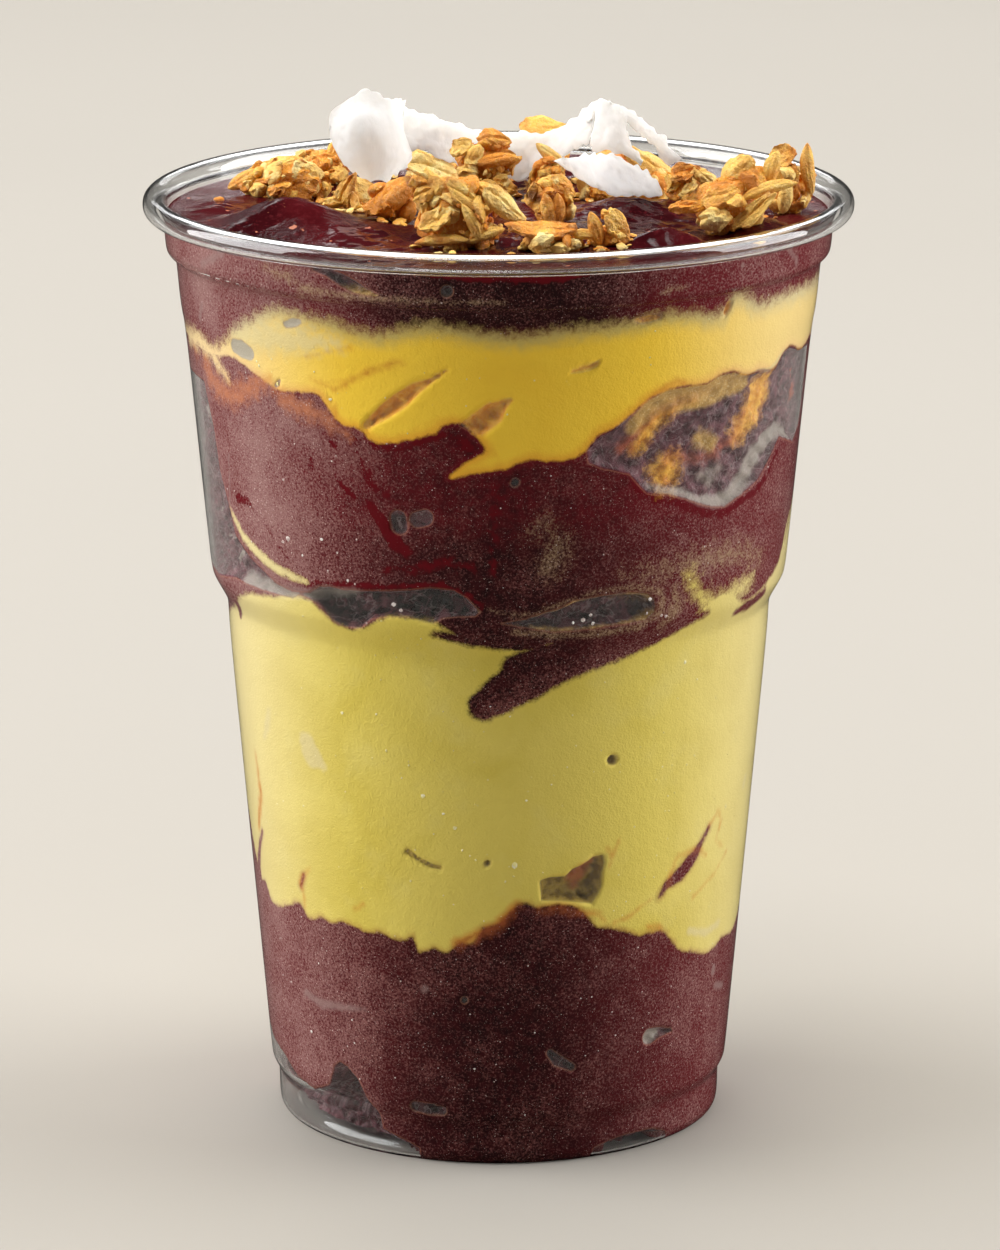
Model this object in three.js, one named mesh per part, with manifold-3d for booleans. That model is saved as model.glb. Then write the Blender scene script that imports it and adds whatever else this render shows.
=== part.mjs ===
// A layered acai cup: a clear thermoformed cup filled with bands of acai and
// two fruit creams, topped with granola clusters and coconut shavings.
// Millimetres, +Z up, origin at the centre of the ring that the cup stands on.
// Angles round the cup are in degrees from the front (-Y) towards +X.
import * as THREE from 'three';
import { mergeVertices } from 'three/addons/utils/BufferGeometryUtils.js';
import Module from 'manifold-3d';

// ---------------------------------------------------------------- dimensions
const CUP_HEIGHT = 127;
const RIM_RADIUS = 47.5;
const RIM_HEIGHT = 2.2;
const COLLAR_RADIUS = 44.75;
const COLLAR_BOTTOM = 120;
const MID_STEP_BOTTOM = 72.1;
const MID_STEP_TOP = 75.1;
const FOOT_TOP = 5.5;
const FOOT_RADIUS = 30.2;
const STAND_OUTER = 29.4;
const STAND_INNER = 27.5;
const BASE_RECESS = 1.4;
const WALL = 0.5;
const GAP = 0.3;
const SIDES = 40;
const FILL_LEVEL = 123.6;
const SHAVING_THICKNESS = 0.8;
const TOP_RELIEF = 1.5;

// Outer wall from the foot to the collar, as [radius, height]
const OUTER_WALL = [
  [STAND_OUTER, 0],
  [FOOT_RADIUS, 0.9],
  [FOOT_RADIUS, FOOT_TOP],
  [FOOT_RADIUS + 0.9, FOOT_TOP + 1.7],
  [36.7, MID_STEP_BOTTOM],
  [38.6, MID_STEP_TOP],
  [41.95, 109.1],
  [43.15, 118.4],
  [COLLAR_RADIUS - 0.25, COLLAR_BOTTOM],
  [COLLAR_RADIUS, CUP_HEIGHT - RIM_HEIGHT - 0.3],
];

// ---------------------------------------------------- wall lines of the layers
// Height of each layer's top edge on the wall, as [angle, height]
const GREEN_UNDERSIDE = [
  [-85, 46], [-74, 36], [-66, 32.2], [-51, 33.2], [-39, 32.8], [-21, 32], [-15, 30.7],
  [-8, 31], [-2, 32.1], [3, 35], [10, 37], [18, 36], [24, 33.3], [34, 31.6], [45, 29],
  [53, 26.8], [65, 26.1], [80, 27], [105, 31], [135, 34], [165, 30.5], [195, 29],
  [225, 33], [250, 40],
];
const MIDDLE_UNDERSIDE = [
  [-85, 69], [-70, 71.5], [-59, 74], [-46, 76.3], [-29, 77.5], [-13, 77.6], [-6, 74.5],
  [3, 72.8], [12, 73], [19, 71.6], [26, 70.8], [37, 73], [45, 77], [58, 77.5], [68, 80], [77, 87],
  [90, 86], [110, 79], [140, 73], [170, 69], [200, 73], [230, 71.5], [255, 69],
];
const YELLOW_UNDERSIDE = [
  [-85, 109], [-70, 108.6], [-59, 106], [-50, 106], [-38, 105.5], [-29, 103.5],
  [-22, 101.2], [-12, 102.8], [-8, 98], [-3, 97], [5, 98.5], [16, 98.4], [20, 101],
  [25, 103.8], [35, 107], [47, 108], [61, 107], [80, 109], [105, 107], [130, 102.5],
  [160, 100], [190, 104], [220, 100.5], [250, 106],
];
const YELLOW_TOP = [
  [-85, 111.3], [-66, 111.6], [-55, 112.5], [-49, 115.6], [-37, 117.6], [-25, 116.4],
  [0, 116.7], [22, 116.7], [45, 117.3], [60, 116.6], [80, 116.8], [110, 115],
  [140, 113.5], [170, 115], [200, 116.5], [230, 114], [255, 112],
];

// Air pockets between the food and the wall: angle, height, and half sizes
// along the wall, upwards and into the food, with a tilt that rises to the right
const AIR_POCKETS = [
  { angle: -57, height: 3.5, along: 14, up: 6.5, deep: 3.5, tilt: 0 },
  { angle: -30, height: 3.2, along: 9, up: 4.5, deep: 2.5, tilt: 0 },
  { angle: -24, height: 78.9, along: 10.5, up: 2, deep: 2.5, tilt: 3 },
  { angle: 17, height: 76.6, along: 10.5, up: 1.9, deep: 2.5, tilt: 9 },
  { angle: 54, height: 98.5, along: 17, up: 5.5, deep: 1.6, tilt: 4 },
  { angle: -76, height: 90, along: 5, up: 12, deep: 1.6, tilt: -8 },
  { angle: 14, height: 38.8, along: 5.5, up: 2.6, deep: 2, tilt: 12 },
];
const ACAI_TONGUE = { angle: 9, height: 67.8, along: 11.5, up: 3, deep: 3.5, tilt: 22 };

// Mounds and hollows in the top of the acai: [x, y, half width, half depth, rise]
const MOUNDS = [
  [-27, -12, 10, 7, 3], [21, -26, 6.5, 3, 2.6], [35, -15, 5, 4.5, 2.1],
  [17, 0, 8, 6, 2.3], [-9, -16, 4, 4, -0.5], [4, -34, 9, 4, -0.4], [-34, 8, 5, 5, 0.6],
];

// --------------------------------------------------------------- granola plan
// Each cluster stands at a place on the acai. Its core is [right, back, up,
// half x, half y, half z], and each piece is [kind, right, back, up, length,
// width, rise, face]: rise turns the long axis up to the right, and face tips
// the flat side from up (0) to the front (90).
const OAT = 'oat';
const SEED = 'seed';
const CRUMB = 'crumb';
const OAT_THICKNESS = 1.2;
const ROUNDNESS = { seed: 0.8, crumb: 0.9 };
const CLUSTERS = [
  { name: 'granola_left', at: [-28.6, 11.2], core: [0, 1, 1.4, 6.2, 4, 3], pieces: [
    [SEED, -5.6, 0.2, 2.2, 5.2, 2.2, 28, 50], [OAT, 0, 0.6, 4.2, 4.8, 3.2, 10, 50],
    [CRUMB, -3.4, -1.6, 1.2, 3, 2.6, 0, 0], [CRUMB, -0.8, -2.6, 1.3, 3.2, 2.4, 20, 0],
    [OAT, 2.8, -0.8, 3.2, 4.4, 3.6, -25, 60]] },
  { name: 'granola_back_left', at: [-24.2, 22.6], core: [0, 0, 2, 3.6, 3.2, 3], pieces: [
    [OAT, 0.2, -1, 3.6, 4.4, 3.4, 15, 50], [SEED, 2, -0.4, 5, 5, 2.2, 62, 60],
    [CRUMB, 2.2, -1.8, 1.6, 3.4, 3, 0, 0], [OAT, -2.4, -1, 2.6, 3.8, 2.6, 40, 60]] },
  { name: 'granola_wedge', at: [-19.2, 0.6], core: [0.1, 0.6, 1.2, 2.2, 2, 1.8], pieces: [
    [OAT, -1.2, -0.6, 2.6, 5.6, 2.4, 61, 70], [OAT, 1.3, -0.2, 2.4, 4.6, 3.4, -38, 62],
    [CRUMB, -3, 0, 0.9, 3.2, 2, 0, 0]] },
  { name: 'granola_glazed', at: [-13.7, -6.7], core: [-0.4, 0.4, 2.2, 3.2, 2, 2.2], pieces: [
    [SEED, -0.4, -0.4, 3.3, 7.6, 4, 38, 40], [CRUMB, -2.7, -1, 1.8, 3, 2.8, 0, 0],
    [CRUMB, 1.5, 0, 4.5, 3, 2.6, 0, 0]] },
  { name: 'granola_front', at: [-4.3, -25.1], core: [-0.9, 2.6, 3.6, 5.4, 3.6, 4.8], pieces: [
    [CRUMB, -3.8, 2.6, 7.6, 6.4, 5, -30, 0],
    [OAT, -4.1, 3, 10, 7, 3.2, -19, 55], [OAT, -5.4, 1.2, 7.2, 3.4, 2.6, 30, 65],
    [CRUMB, -6.2, 2, 8.6, 2.4, 2.4, 0, 0], [OAT, 0.1, 0, 7, 6.6, 3, -37, 60],
    [OAT, 5, 1, 5.7, 6.4, 3.2, -40, 55], [CRUMB, 1.7, 2.2, 7.4, 4.4, 3, -30, 0],
    [OAT, -3.6, -0.2, 3.9, 4.8, 3, 28, 55], [SEED, -3, -0.4, 1.4, 7, 1.8, 3, 20],
    [SEED, 1, -0.8, 3.7, 5.4, 1.6, -64, 80], [SEED, 2.6, -0.4, 2.1, 5.2, 1.7, 20, 40]] },
  { name: 'granola_centre', at: [-2.1, 11.8], core: [0.4, 0.6, 3.6, 3.6, 2.8, 4.6], pieces: [
    [OAT, 1.7, 0.2, 8.2, 4.6, 3, -14, 50], [OAT, -3, 0, 7, 3.6, 2.6, 20, 55],
    [SEED, -1.4, -1, 6, 3.8, 2, 62, 70], [SEED, 1.8, -1.6, 5.6, 5.8, 2, 8, 50],
    [CRUMB, 4.1, -0.4, 5.3, 2.6, 2.2, 0, 0], [CRUMB, 0.9, -2.4, 2.2, 2.6, 2.4, 0, 0],
    [OAT, 3, -1.6, 1.9, 3.8, 2.8, -30, 55], [CRUMB, -2.2, -1.4, 3.8, 3, 2.6, 0, 0]] },
  { name: 'granola_long_seed', at: [6, -27.9], core: [1.2, 0.4, 1.1, 3.8, 1.8, 1.6], pieces: [
    [OAT, -0.4, 0, 2.9, 9.2, 3.4, -4, 32], [SEED, 5.1, 0.2, 2.4, 3.6, 1.5, -3, 40],
    [CRUMB, -0.6, -1.2, 0.9, 3, 2, 0, 0], [CRUMB, 1.8, -1.4, 0.8, 3, 1.8, 0, 0],
    [CRUMB, 3.6, -0.6, 1.2, 2.6, 1.8, 0, 0]] },
  { name: 'granola_front_right', at: [14.4, -27.2], core: [-0.3, 0.6, 1, 2, 1.5, 1.4], pieces: [
    [SEED, -1.8, -0.4, 2.2, 4.6, 1.9, -74, 85], [OAT, 0.9, 0, 2.3, 5.2, 3, -58, 65],
    [CRUMB, -0.5, 0.4, 4.1, 1.8, 1.6, 0, 0]] },
  { name: 'granola_lobed', at: [6.8, -9.9], core: [0.2, 1, 2.6, 2.6, 2, 3.4], pieces: [
    [OAT, -1.8, 0, 3.9, 4.8, 3, 82, 75], [OAT, 1.7, 0.6, 5, 4, 2.8, -42, 60],
    [SEED, -0.2, -1.2, 2.2, 4.8, 2, -75, 85], [SEED, 1.1, -1, 2.2, 4.6, 1.8, 85, 85],
    [CRUMB, 0.3, 0.8, 5.8, 2.2, 2, 0, 0]] },
  { name: 'granola_under_curl', at: [13.6, 9.4], core: [0, 0, 1.8, 2.6, 2.2, 2.4], pieces: [
    [OAT, 0.4, 0, 3.6, 4, 2.8, 15, 30]] },
  { name: 'granola_leaning_seed', at: [7, 10.4], core: [-0.2, 0, 2.2, 2.4, 2.2, 3], pieces: [
    [SEED, 0.2, 0.6, 5.6, 5.4, 1.8, -38, 60], [CRUMB, -0.6, -1.2, 3.6, 2.6, 2.2, 0, 0]] },
  { name: 'granola_behind_front', at: [-7, -3], core: [0, 0, 1.6, 3, 2.6, 2.4], pieces: [
    [OAT, 1.4, 0, 3.2, 5, 3.2, 25, 40], [CRUMB, -2.4, 0.6, 1.6, 3, 2.6, 0, 0]] },
  { name: 'granola_far_left', at: [-9.5, 27], core: [0, 0, 1.4, 3.4, 2.6, 2.2], pieces: [
    [OAT, -0.6, 0.4, 3, 5, 3.4, -20, 30], [SEED, 2.2, -0.6, 1.6, 5, 1.9, 20, 30]] },
  { name: 'granola_far', at: [1.5, 34], core: [0, 0, 1.2, 3, 2.6, 2], pieces: [
    [OAT, 0.8, 0.4, 2.4, 4.6, 3.4, 18, 25], [CRUMB, -2.2, 0, 1.4, 2.8, 2.4, 0, 0]] },
  { name: 'granola_far_right', at: [16.5, 25.5], core: [0, 0, 1.4, 3, 2.4, 2.2], pieces: [
    [OAT, -0.8, 0, 2.8, 4.8, 3.2, -30, 35], [SEED, 1.8, 0.4, 1.8, 4.6, 1.8, 40, 30]] },
  { name: 'granola_back', at: [6.6, 24.4], core: [0, 0.6, 3, 3, 2.4, 3.6], pieces: [
    [OAT, 0, 0.2, 7, 7.2, 4, -6, 40], [OAT, -1.8, -0.6, 4.6, 4, 2.8, 40, 60]] },
  { name: 'granola_slanting', at: [20.4, 11], core: [0.6, 0.4, 1.6, 3, 2.4, 2.2], pieces: [
    [OAT, 0.2, 0.6, 4.8, 8.2, 3.2, -32, 50], [SEED, 1.4, -1.6, 2, 4, 1.9, -60, 70],
    [CRUMB, 3.2, -0.4, 2, 2.8, 2.2, 0, 0]] },
  { name: 'granola_middle_right', at: [25.7, 4.3], core: [-0.4, 0.6, 1.8, 2.8, 2.2, 2.2], pieces: [
    [OAT, -0.6, 0, 4.4, 4, 2.8, 15, 55], [OAT, 1.8, -0.4, 3.9, 4, 2.4, -28, 60],
    [CRUMB, -2.4, 0, 3.4, 2.8, 2.6, 0, 0], [OAT, 0, -1.2, 1.8, 3.8, 3, 70, 65]] },
  { name: 'granola_right', at: [29.6, -17.4], core: [0.6, 1.8, 3.2, 4.6, 3, 4], pieces: [
    [CRUMB, 3.6, 1.6, 6.8, 5, 4, 0, 0],
    [OAT, 1.9, 1.6, 8.2, 4.8, 4, 50, 70], [SEED, 6.1, 1.8, 8.5, 4.8, 2.2, 74, 70],
    [SEED, 5.6, 0, 6.2, 7.6, 1.8, 17, 50], [OAT, 3.8, -1, 3, 7.8, 2.6, 40, 55],
    [OAT, -0.6, -0.6, 5.4, 5.4, 3.6, 20, 55], [OAT, -4.8, 0, 3.7, 5.2, 2.2, 3, 35],
    [CRUMB, -1.4, -1.4, 2.3, 5.4, 3.4, 0, 0], [CRUMB, 1.6, -1.6, 4.6, 2.4, 2.2, 0, 0]] },
  { name: 'granola_back_right', at: [38.6, 0.6], core: [0, 0.8, 3, 2.9, 2.4, 3.6], pieces: [
    [OAT, -0.6, 0.4, 7.6, 3.6, 3.2, 30, 60], [SEED, 2.6, -0.2, 6, 6.8, 2, -84, 80],
    [OAT, 0, -0.8, 5, 4, 3, 70, 65], [SEED, -0.4, -1.6, 2.4, 4.4, 2, 80, 80],
    [OAT, -2, -0.4, 4.6, 3.8, 2.2, 60, 65]] },
];

// ------------------------------------------------------------ coconut shavings
// Each shaving has one or two grids of points that its middle surface passes
// through, fused where they meet
const SHAVINGS = [
  { name: 'coconut_petal', grids: [[
    [[-21.2, 5, 130], [-19, 4, 128.2], [-16, 4, 126.9], [-11.4, 9, 128.7]],
    [[-22.5, 6, 132.4], [-19.2, 2.5, 131.8], [-15.2, 3, 131.4], [-12.2, 10, 131.2]],
    [[-22.5, 8, 135.7], [-19.2, 3, 135.7], [-15.2, 4, 134.9], [-13, 11, 134.1]],
    [[-20, 10, 137.3], [-17.8, 8, 139], [-14.8, 9, 137.9], [-12.7, 12, 136.7]]]] },
  { name: 'coconut_ribbon', grids: [[
    [[-13, 15, 129.3], [-9, 16, 128.7], [-3.9, 18, 126.2], [2.8, 19, 124.6], [6.2, 18, 126.9],
      [9.3, 16, 128.6], [12.2, 14, 130.7]],
    [[-13, 16.5, 132.2], [-9, 17.6, 131.8], [-3.4, 19.6, 129.6], [2.8, 20.6, 128.2],
      [6.4, 19.8, 129.5], [9.5, 17.8, 131.2], [12.8, 14.8, 133.7]],
    [[-12.8, 16, 135.2], [-9.3, 17, 134.3], [-3.2, 19, 131.9], [2.8, 20, 131.3],
      [6.5, 20, 131.6], [9.6, 18, 133.6], [13.3, 14.4, 136.7]]]] },
  { name: 'coconut_curl', grids: [[
    [[12.6, 11.6, 130.7], [13.4, 9.8, 130.2], [14.5, 9, 130.4], [16.3, 8, 130], [19, 7, 128.7]],
    [[13.6, 11, 134], [14.9, 9.6, 133.4], [15.6, 8.8, 132.6], [16.9, 7.8, 131.2],
      [19.3, 7, 129.3]],
    [[13.6, 11.6, 137], [15.6, 10.8, 136.6], [16.6, 9.8, 134.8], [17.4, 9, 132.3],
      [19.7, 8, 129.9]]],
  [
    [[15.6, 10.4, 135.2], [18.3, 12.2, 133.5], [19.8, 13.8, 131.4], [21.6, 14.6, 129.4],
      [23.2, 14.4, 127.6]],
    [[14.8, 10.8, 136.9], [18.3, 12.6, 135], [20.6, 14.2, 133.3], [23.2, 15, 130],
      [24.4, 14.6, 128.2]]]] },
  { name: 'coconut_flake', grids: [[
    [[7.2, -8, 132.1], [9.7, -8, 130.5], [12.4, -7, 128.5], [15.6, -5, 126.9],
      [18.8, -3, 126.4], [21.7, -1, 126.3]],
    [[8.4, -7, 132.4], [11.5, -5, 131.1], [14.1, -3, 129.5], [16.8, -2, 128.5],
      [19.1, -1, 127.9], [21.4, -0.4, 126.9]],
    [[9.5, -6, 132.3], [11.7, -4, 132.4], [14.5, 0, 132.2], [16.5, 1, 131.4], [18.9, 1, 129.3],
      [21.1, 0.6, 127.6]]]] },
];

// -------------------------------------------------------------------- materials
const finish = (colour, roughness, extra = {}) =>
  new THREE.MeshStandardMaterial({ color: colour, roughness, metalness: 0, ...extra });
const CLEAR = finish(0xe8ecec, 0.08, { transparent: true, opacity: 0.35 });
const ACAI = finish(0x4a1824, 0.45);
const GREEN = finish(0xc7b84e, 0.5);
const YELLOW = finish(0xe8bd45, 0.5);
const GRANOLA = finish(0xd09a4c, 0.65);
const GLAZED = finish(0x9a5a24, 0.35);
const COCONUT = finish(0xeeeee8, 0.55);

// --------------------------------------------------------------- solid helpers
const wasm = await Module();
wasm.setup();
const { Manifold, Mesh: SolidMesh } = wasm;
const radians = THREE.MathUtils.degToRad;

// The closed solid that a three.js geometry bounds, with its faces turned outwards
function solidOf(geometry) {
  const bare = geometry.clone();
  bare.deleteAttribute('normal');
  bare.deleteAttribute('uv');
  const merged = mergeVertices(bare, 1e-4);
  const points = merged.attributes.position.array;
  const index = merged.index.array;
  const corner = (i) => new THREE.Vector3().fromArray(points, 3 * i);
  const faces = [];
  let volume = 0;
  for (let i = 0; i < index.length; i += 3) {
    const [a, b, c] = [index[i], index[i + 1], index[i + 2]];
    if (a === b || b === c || c === a) continue;
    faces.push([a, b, c]);
    volume += corner(a).dot(corner(b).cross(corner(c)));
  }
  const outward = volume > 0 ? faces : faces.map(([a, b, c]) => [a, c, b]);
  return new Manifold(new SolidMesh({
    numProp: 3,
    vertProperties: new Float32Array(points),
    triVerts: new Uint32Array(outward.flat()),
  }));
}

// The largest single body of a solid, without the scraps that a cut left loose
function mainBody(solid) {
  return solid.decompose().reduce((best, body) => (body.volume() > best.volume() ? body : best));
}

function meshOf(name, solid, material) {
  const { vertProperties, triVerts } = mainBody(solid).getMesh();
  const geometry = new THREE.BufferGeometry();
  geometry.setAttribute('position', new THREE.BufferAttribute(vertProperties, 3));
  geometry.setIndex(new THREE.BufferAttribute(triVerts, 1));
  geometry.computeVertexNormals();
  const mesh = new THREE.Mesh(geometry, material);
  mesh.name = name;
  return mesh;
}

// A solid turned round the cup's axis from a [radius, height] profile
function turned(profile) {
  const points = profile.map(([radius, height]) => new THREE.Vector2(radius, height));
  return solidOf(new THREE.LatheGeometry(points, SIDES).rotateX(Math.PI / 2));
}

// A smooth periodic curve through [angle, height] pairs
function around(pairs) {
  return (angle) => {
    const turn = THREE.MathUtils.euclideanModulo(angle - pairs[0][0], 360) + pairs[0][0];
    const next = pairs.findIndex(([end]) => end > turn);
    const [a1, h1] = pairs.at(next < 0 ? -1 : next - 1);
    const [a2, h2] = next < 0 ? [pairs[0][0] + 360, pairs[0][1]] : pairs[next];
    return THREE.MathUtils.lerp(h1, h2, THREE.MathUtils.smoothstep(turn, a1, a2));
  };
}

// Everything below a height field, out to past the cup wall. Each ring holds
// a whole share of the points of the one outside it.
function below(heightAt, rings) {
  const depth = -10;
  const outer = rings[0];
  const points = [];
  const starts = rings.map(({ radius, count }) => {
    const start = points.length;
    for (let i = 0; i < count; i += 1) {
      const angle = (360 * i) / count;
      const x = radius * Math.sin(radians(angle));
      const y = -radius * Math.cos(radians(angle));
      points.push([x, y, heightAt(x, y)]);
    }
    return start;
  });
  const middle = points.push([0, 0, heightAt(0, 0)]) - 1;
  const foot = points.length;
  for (let i = 0; i < outer.count; i += 1) points.push([points[i][0], points[i][1], depth]);
  const footMiddle = points.push([0, 0, depth]) - 1;
  const faces = [];
  for (let ring = 0; ring < rings.length - 1; ring += 1) {
    const [many, few] = [rings[ring].count, rings[ring + 1].count];
    const ratio = many / few;
    for (let j = 0; j < few; j += 1) {
      const inner = starts[ring + 1] + j;
      const innerNext = starts[ring + 1] + ((j + 1) % few);
      for (let k = 0; k < ratio; k += 1) {
        const a = starts[ring] + ((j * ratio + k) % many);
        const b = starts[ring] + ((j * ratio + k + 1) % many);
        faces.push([a, b, inner]);
      }
      faces.push([starts[ring] + (((j + 1) * ratio) % many), innerNext, inner]);
    }
  }
  const last = rings.at(-1);
  for (let j = 0; j < last.count; j += 1) {
    faces.push([starts.at(-1) + j, starts.at(-1) + ((j + 1) % last.count), middle]);
  }
  for (let i = 0; i < outer.count; i += 1) {
    const next = (i + 1) % outer.count;
    faces.push([i, foot + i, foot + next], [i, foot + next, next]);
    faces.push([footMiddle, foot + next, foot + i]);
  }
  const geometry = new THREE.BufferGeometry();
  geometry.setAttribute('position', new THREE.Float32BufferAttribute(points.flat(), 3));
  geometry.setIndex(faces.flat());
  return solidOf(geometry);
}

// ----------------------------------------------------------------------- cup
const innerWall = OUTER_WALL.slice(1).map(([radius, height]) => [radius - WALL, height]);

function cupProfile() {
  const rimTop = CUP_HEIGHT;
  const rimUnder = rimTop - RIM_HEIGHT;
  const innerRim = COLLAR_RADIUS - WALL;
  const base = BASE_RECESS + WALL;
  return [
    [0, BASE_RECESS],
    [STAND_INNER - 0.6, BASE_RECESS],
    [STAND_INNER, 0],
    ...OUTER_WALL,
    [RIM_RADIUS - 0.5, rimUnder],
    [RIM_RADIUS, rimUnder + 0.75],
    [RIM_RADIUS - 0.3, rimTop - 0.5],
    [RIM_RADIUS - 1.2, rimTop],
    [innerRim + 0.6, rimTop - 0.3],
    ...innerWall.toReversed(),
    [STAND_OUTER - WALL, WALL],
    [STAND_INNER + 0.2, WALL],
    [STAND_INNER - 0.6, base],
    [0, base],
  ];
}

// The whole filling before it is cut into layers
function fillingProfile() {
  const floor = BASE_RECESS + WALL + GAP;
  const side = innerWall.map(([radius, height]) => [radius - GAP, height]);
  return [
    [0, floor],
    [STAND_INNER - 0.8, floor],
    [STAND_OUTER - WALL - GAP - 0.3, WALL + GAP],
    [side[0][0], side[0][1] + 0.5],
    ...side.slice(1),
    [side.at(-1)[0], CUP_HEIGHT + TOP_RELIEF],
    [0, CUP_HEIGHT + TOP_RELIEF],
  ];
}

// --------------------------------------------------------------------- layers
const wallRadiusNear = (height) => {
  const above = innerWall.findIndex(([, top]) => top > height);
  if (above < 1) return innerWall.at(above)[0];
  const [[r1, h1], [r2, h2]] = [innerWall[above - 1], innerWall[above]];
  return THREE.MathUtils.mapLinear(height, h1, h2, r1, r2);
};

// A layer boundary: the wall line at the wall, flattening towards the middle
function boundary(wallLine) {
  const line = around(wallLine);
  const mean = wallLine.reduce((sum, [, height]) => sum + height, 0) / wallLine.length;
  const highest = Math.max(...wallLine.map(([, height]) => height));
  const top = (x, y) => {
    const height = line(THREE.MathUtils.radToDeg(Math.atan2(x, -y)));
    const share = Math.min(1, Math.hypot(x, y) / wallRadiusNear(height));
    return THREE.MathUtils.lerp(mean, height, share ** 3);
  };
  return { top, rings: boundaryRings(wallRadiusNear(highest)) };
}

function acaiTop(x, y) {
  const distance = Math.hypot(x, y) / COLLAR_RADIUS;
  const swell = MOUNDS.reduce((sum, [cx, cy, wide, deep, rise]) => (
    sum + rise * Math.exp(-(((x - cx) / wide) ** 2) - ((y - cy) / deep) ** 2)), 0);
  const edge = 1 - THREE.MathUtils.smoothstep(distance, 0.86, 1);
  const ripple = 0.25 * Math.sin(0.31 * x + 1.1) * Math.cos(0.27 * y - 0.4);
  return FILL_LEVEL + edge * (swell + ripple) + 0.15 * Math.sin(3 * Math.atan2(x, -y));
}

const boundaryRings = (wallRadius) => [
  { radius: wallRadius + 1, count: 1.5 * SIDES },
  { radius: 0.82 * wallRadius, count: SIDES / 2 },
  { radius: 0.35 * wallRadius, count: SIDES / 4 },
];
const topRings = [
  { radius: RIM_RADIUS, count: SIDES },
  { radius: 39.5, count: SIDES },
  { radius: 31, count: SIDES / 2 },
  { radius: 22, count: SIDES / 2 },
  { radius: 11, count: SIDES / 4 },
];

// An egg shape against the wall, by its place and its half sizes
function onWall({ angle, height, along, up, deep, tilt }, margin = 0) {
  const radius = wallRadiusNear(Math.max(height, FOOT_TOP)) - GAP;
  const egg = new THREE.SphereGeometry(1, 10, 5)
    .scale(along + margin, deep + margin, up + margin)
    .rotateY(-radians(tilt))
    .translate(0, -radius, height)
    .rotateZ(radians(angle));
  return solidOf(egg);
}

function makeLayers() {
  const pockets = Manifold.union(AIR_POCKETS.map((pocket) => onWall(pocket)));
  const filling = turned(fillingProfile());
  const tongue = onWall(ACAI_TONGUE).intersect(filling);
  const tongueRoom = onWall(ACAI_TONGUE, GAP);
  const stack = [
    { name: 'acai_bottom', material: ACAI, ...boundary(GREEN_UNDERSIDE) },
    { name: 'green_cream', material: GREEN, ...boundary(MIDDLE_UNDERSIDE) },
    { name: 'acai_middle', material: ACAI, ...boundary(YELLOW_UNDERSIDE) },
    { name: 'yellow_cream', material: YELLOW, ...boundary(YELLOW_TOP) },
    { name: 'acai_top', material: ACAI, top: acaiTop, rings: topRings },
  ];
  const layers = {};
  let under = null;
  for (const { name, material, top, rings } of stack) {
    let layer = filling.intersect(below(top, rings));
    if (under) layer = layer.subtract(below((x, y) => under.top(x, y) + GAP, under.rings));
    if (name === 'green_cream') layer = layer.subtract(tongueRoom);
    if (name === 'acai_middle') layer = layer.add(tongue);
    layers[name] = { solid: layer.subtract(pockets), material };
    under = { top, rings };
  }
  return layers;
}

// --------------------------------------------------------------------- granola
// A piece of granola about its own centre, turned and set in place
function granolaPiece([kind, right, back, up, length, width, rise, face], origin, margin) {
  const thickness = kind === OAT ? OAT_THICKNESS : ROUNDNESS[kind] * width;
  const half = [length / 2 + margin, width / 2 + margin, thickness / 2 + margin];
  const shape = {
    oat: () => new THREE.SphereGeometry(1.1, 7, 3).rotateX(Math.PI / 2),
    seed: () => new THREE.SphereGeometry(1.1, 5, 3).rotateZ(Math.PI / 2),
    crumb: () => new THREE.IcosahedronGeometry(1, 0),
  }[kind]();
  const turn = new THREE.Euler(radians(face), -radians(rise), 0, 'ZYX');
  const place = new THREE.Matrix4().makeRotationFromEuler(turn)
    .scale(new THREE.Vector3(...half))
    .setPosition(origin.x + right, origin.y + back, origin.z + up);
  return solidOf(shape.applyMatrix4(place));
}

function granolaCluster({ at: [x, y], core, pieces }, margin = 0) {
  const origin = new THREE.Vector3(x, y, acaiTop(x, y));
  const [right, back, up, halfX, halfY, halfZ] = core;
  const heart = new THREE.SphereGeometry(1, 8, 5)
    .scale(halfX + margin, halfY + margin, halfZ + margin)
    .translate(origin.x + right, origin.y + back, origin.z + up);
  const parts = pieces.map((piece) => granolaPiece(piece, origin, margin));
  return Manifold.union([solidOf(heart), ...parts]);
}

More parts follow.
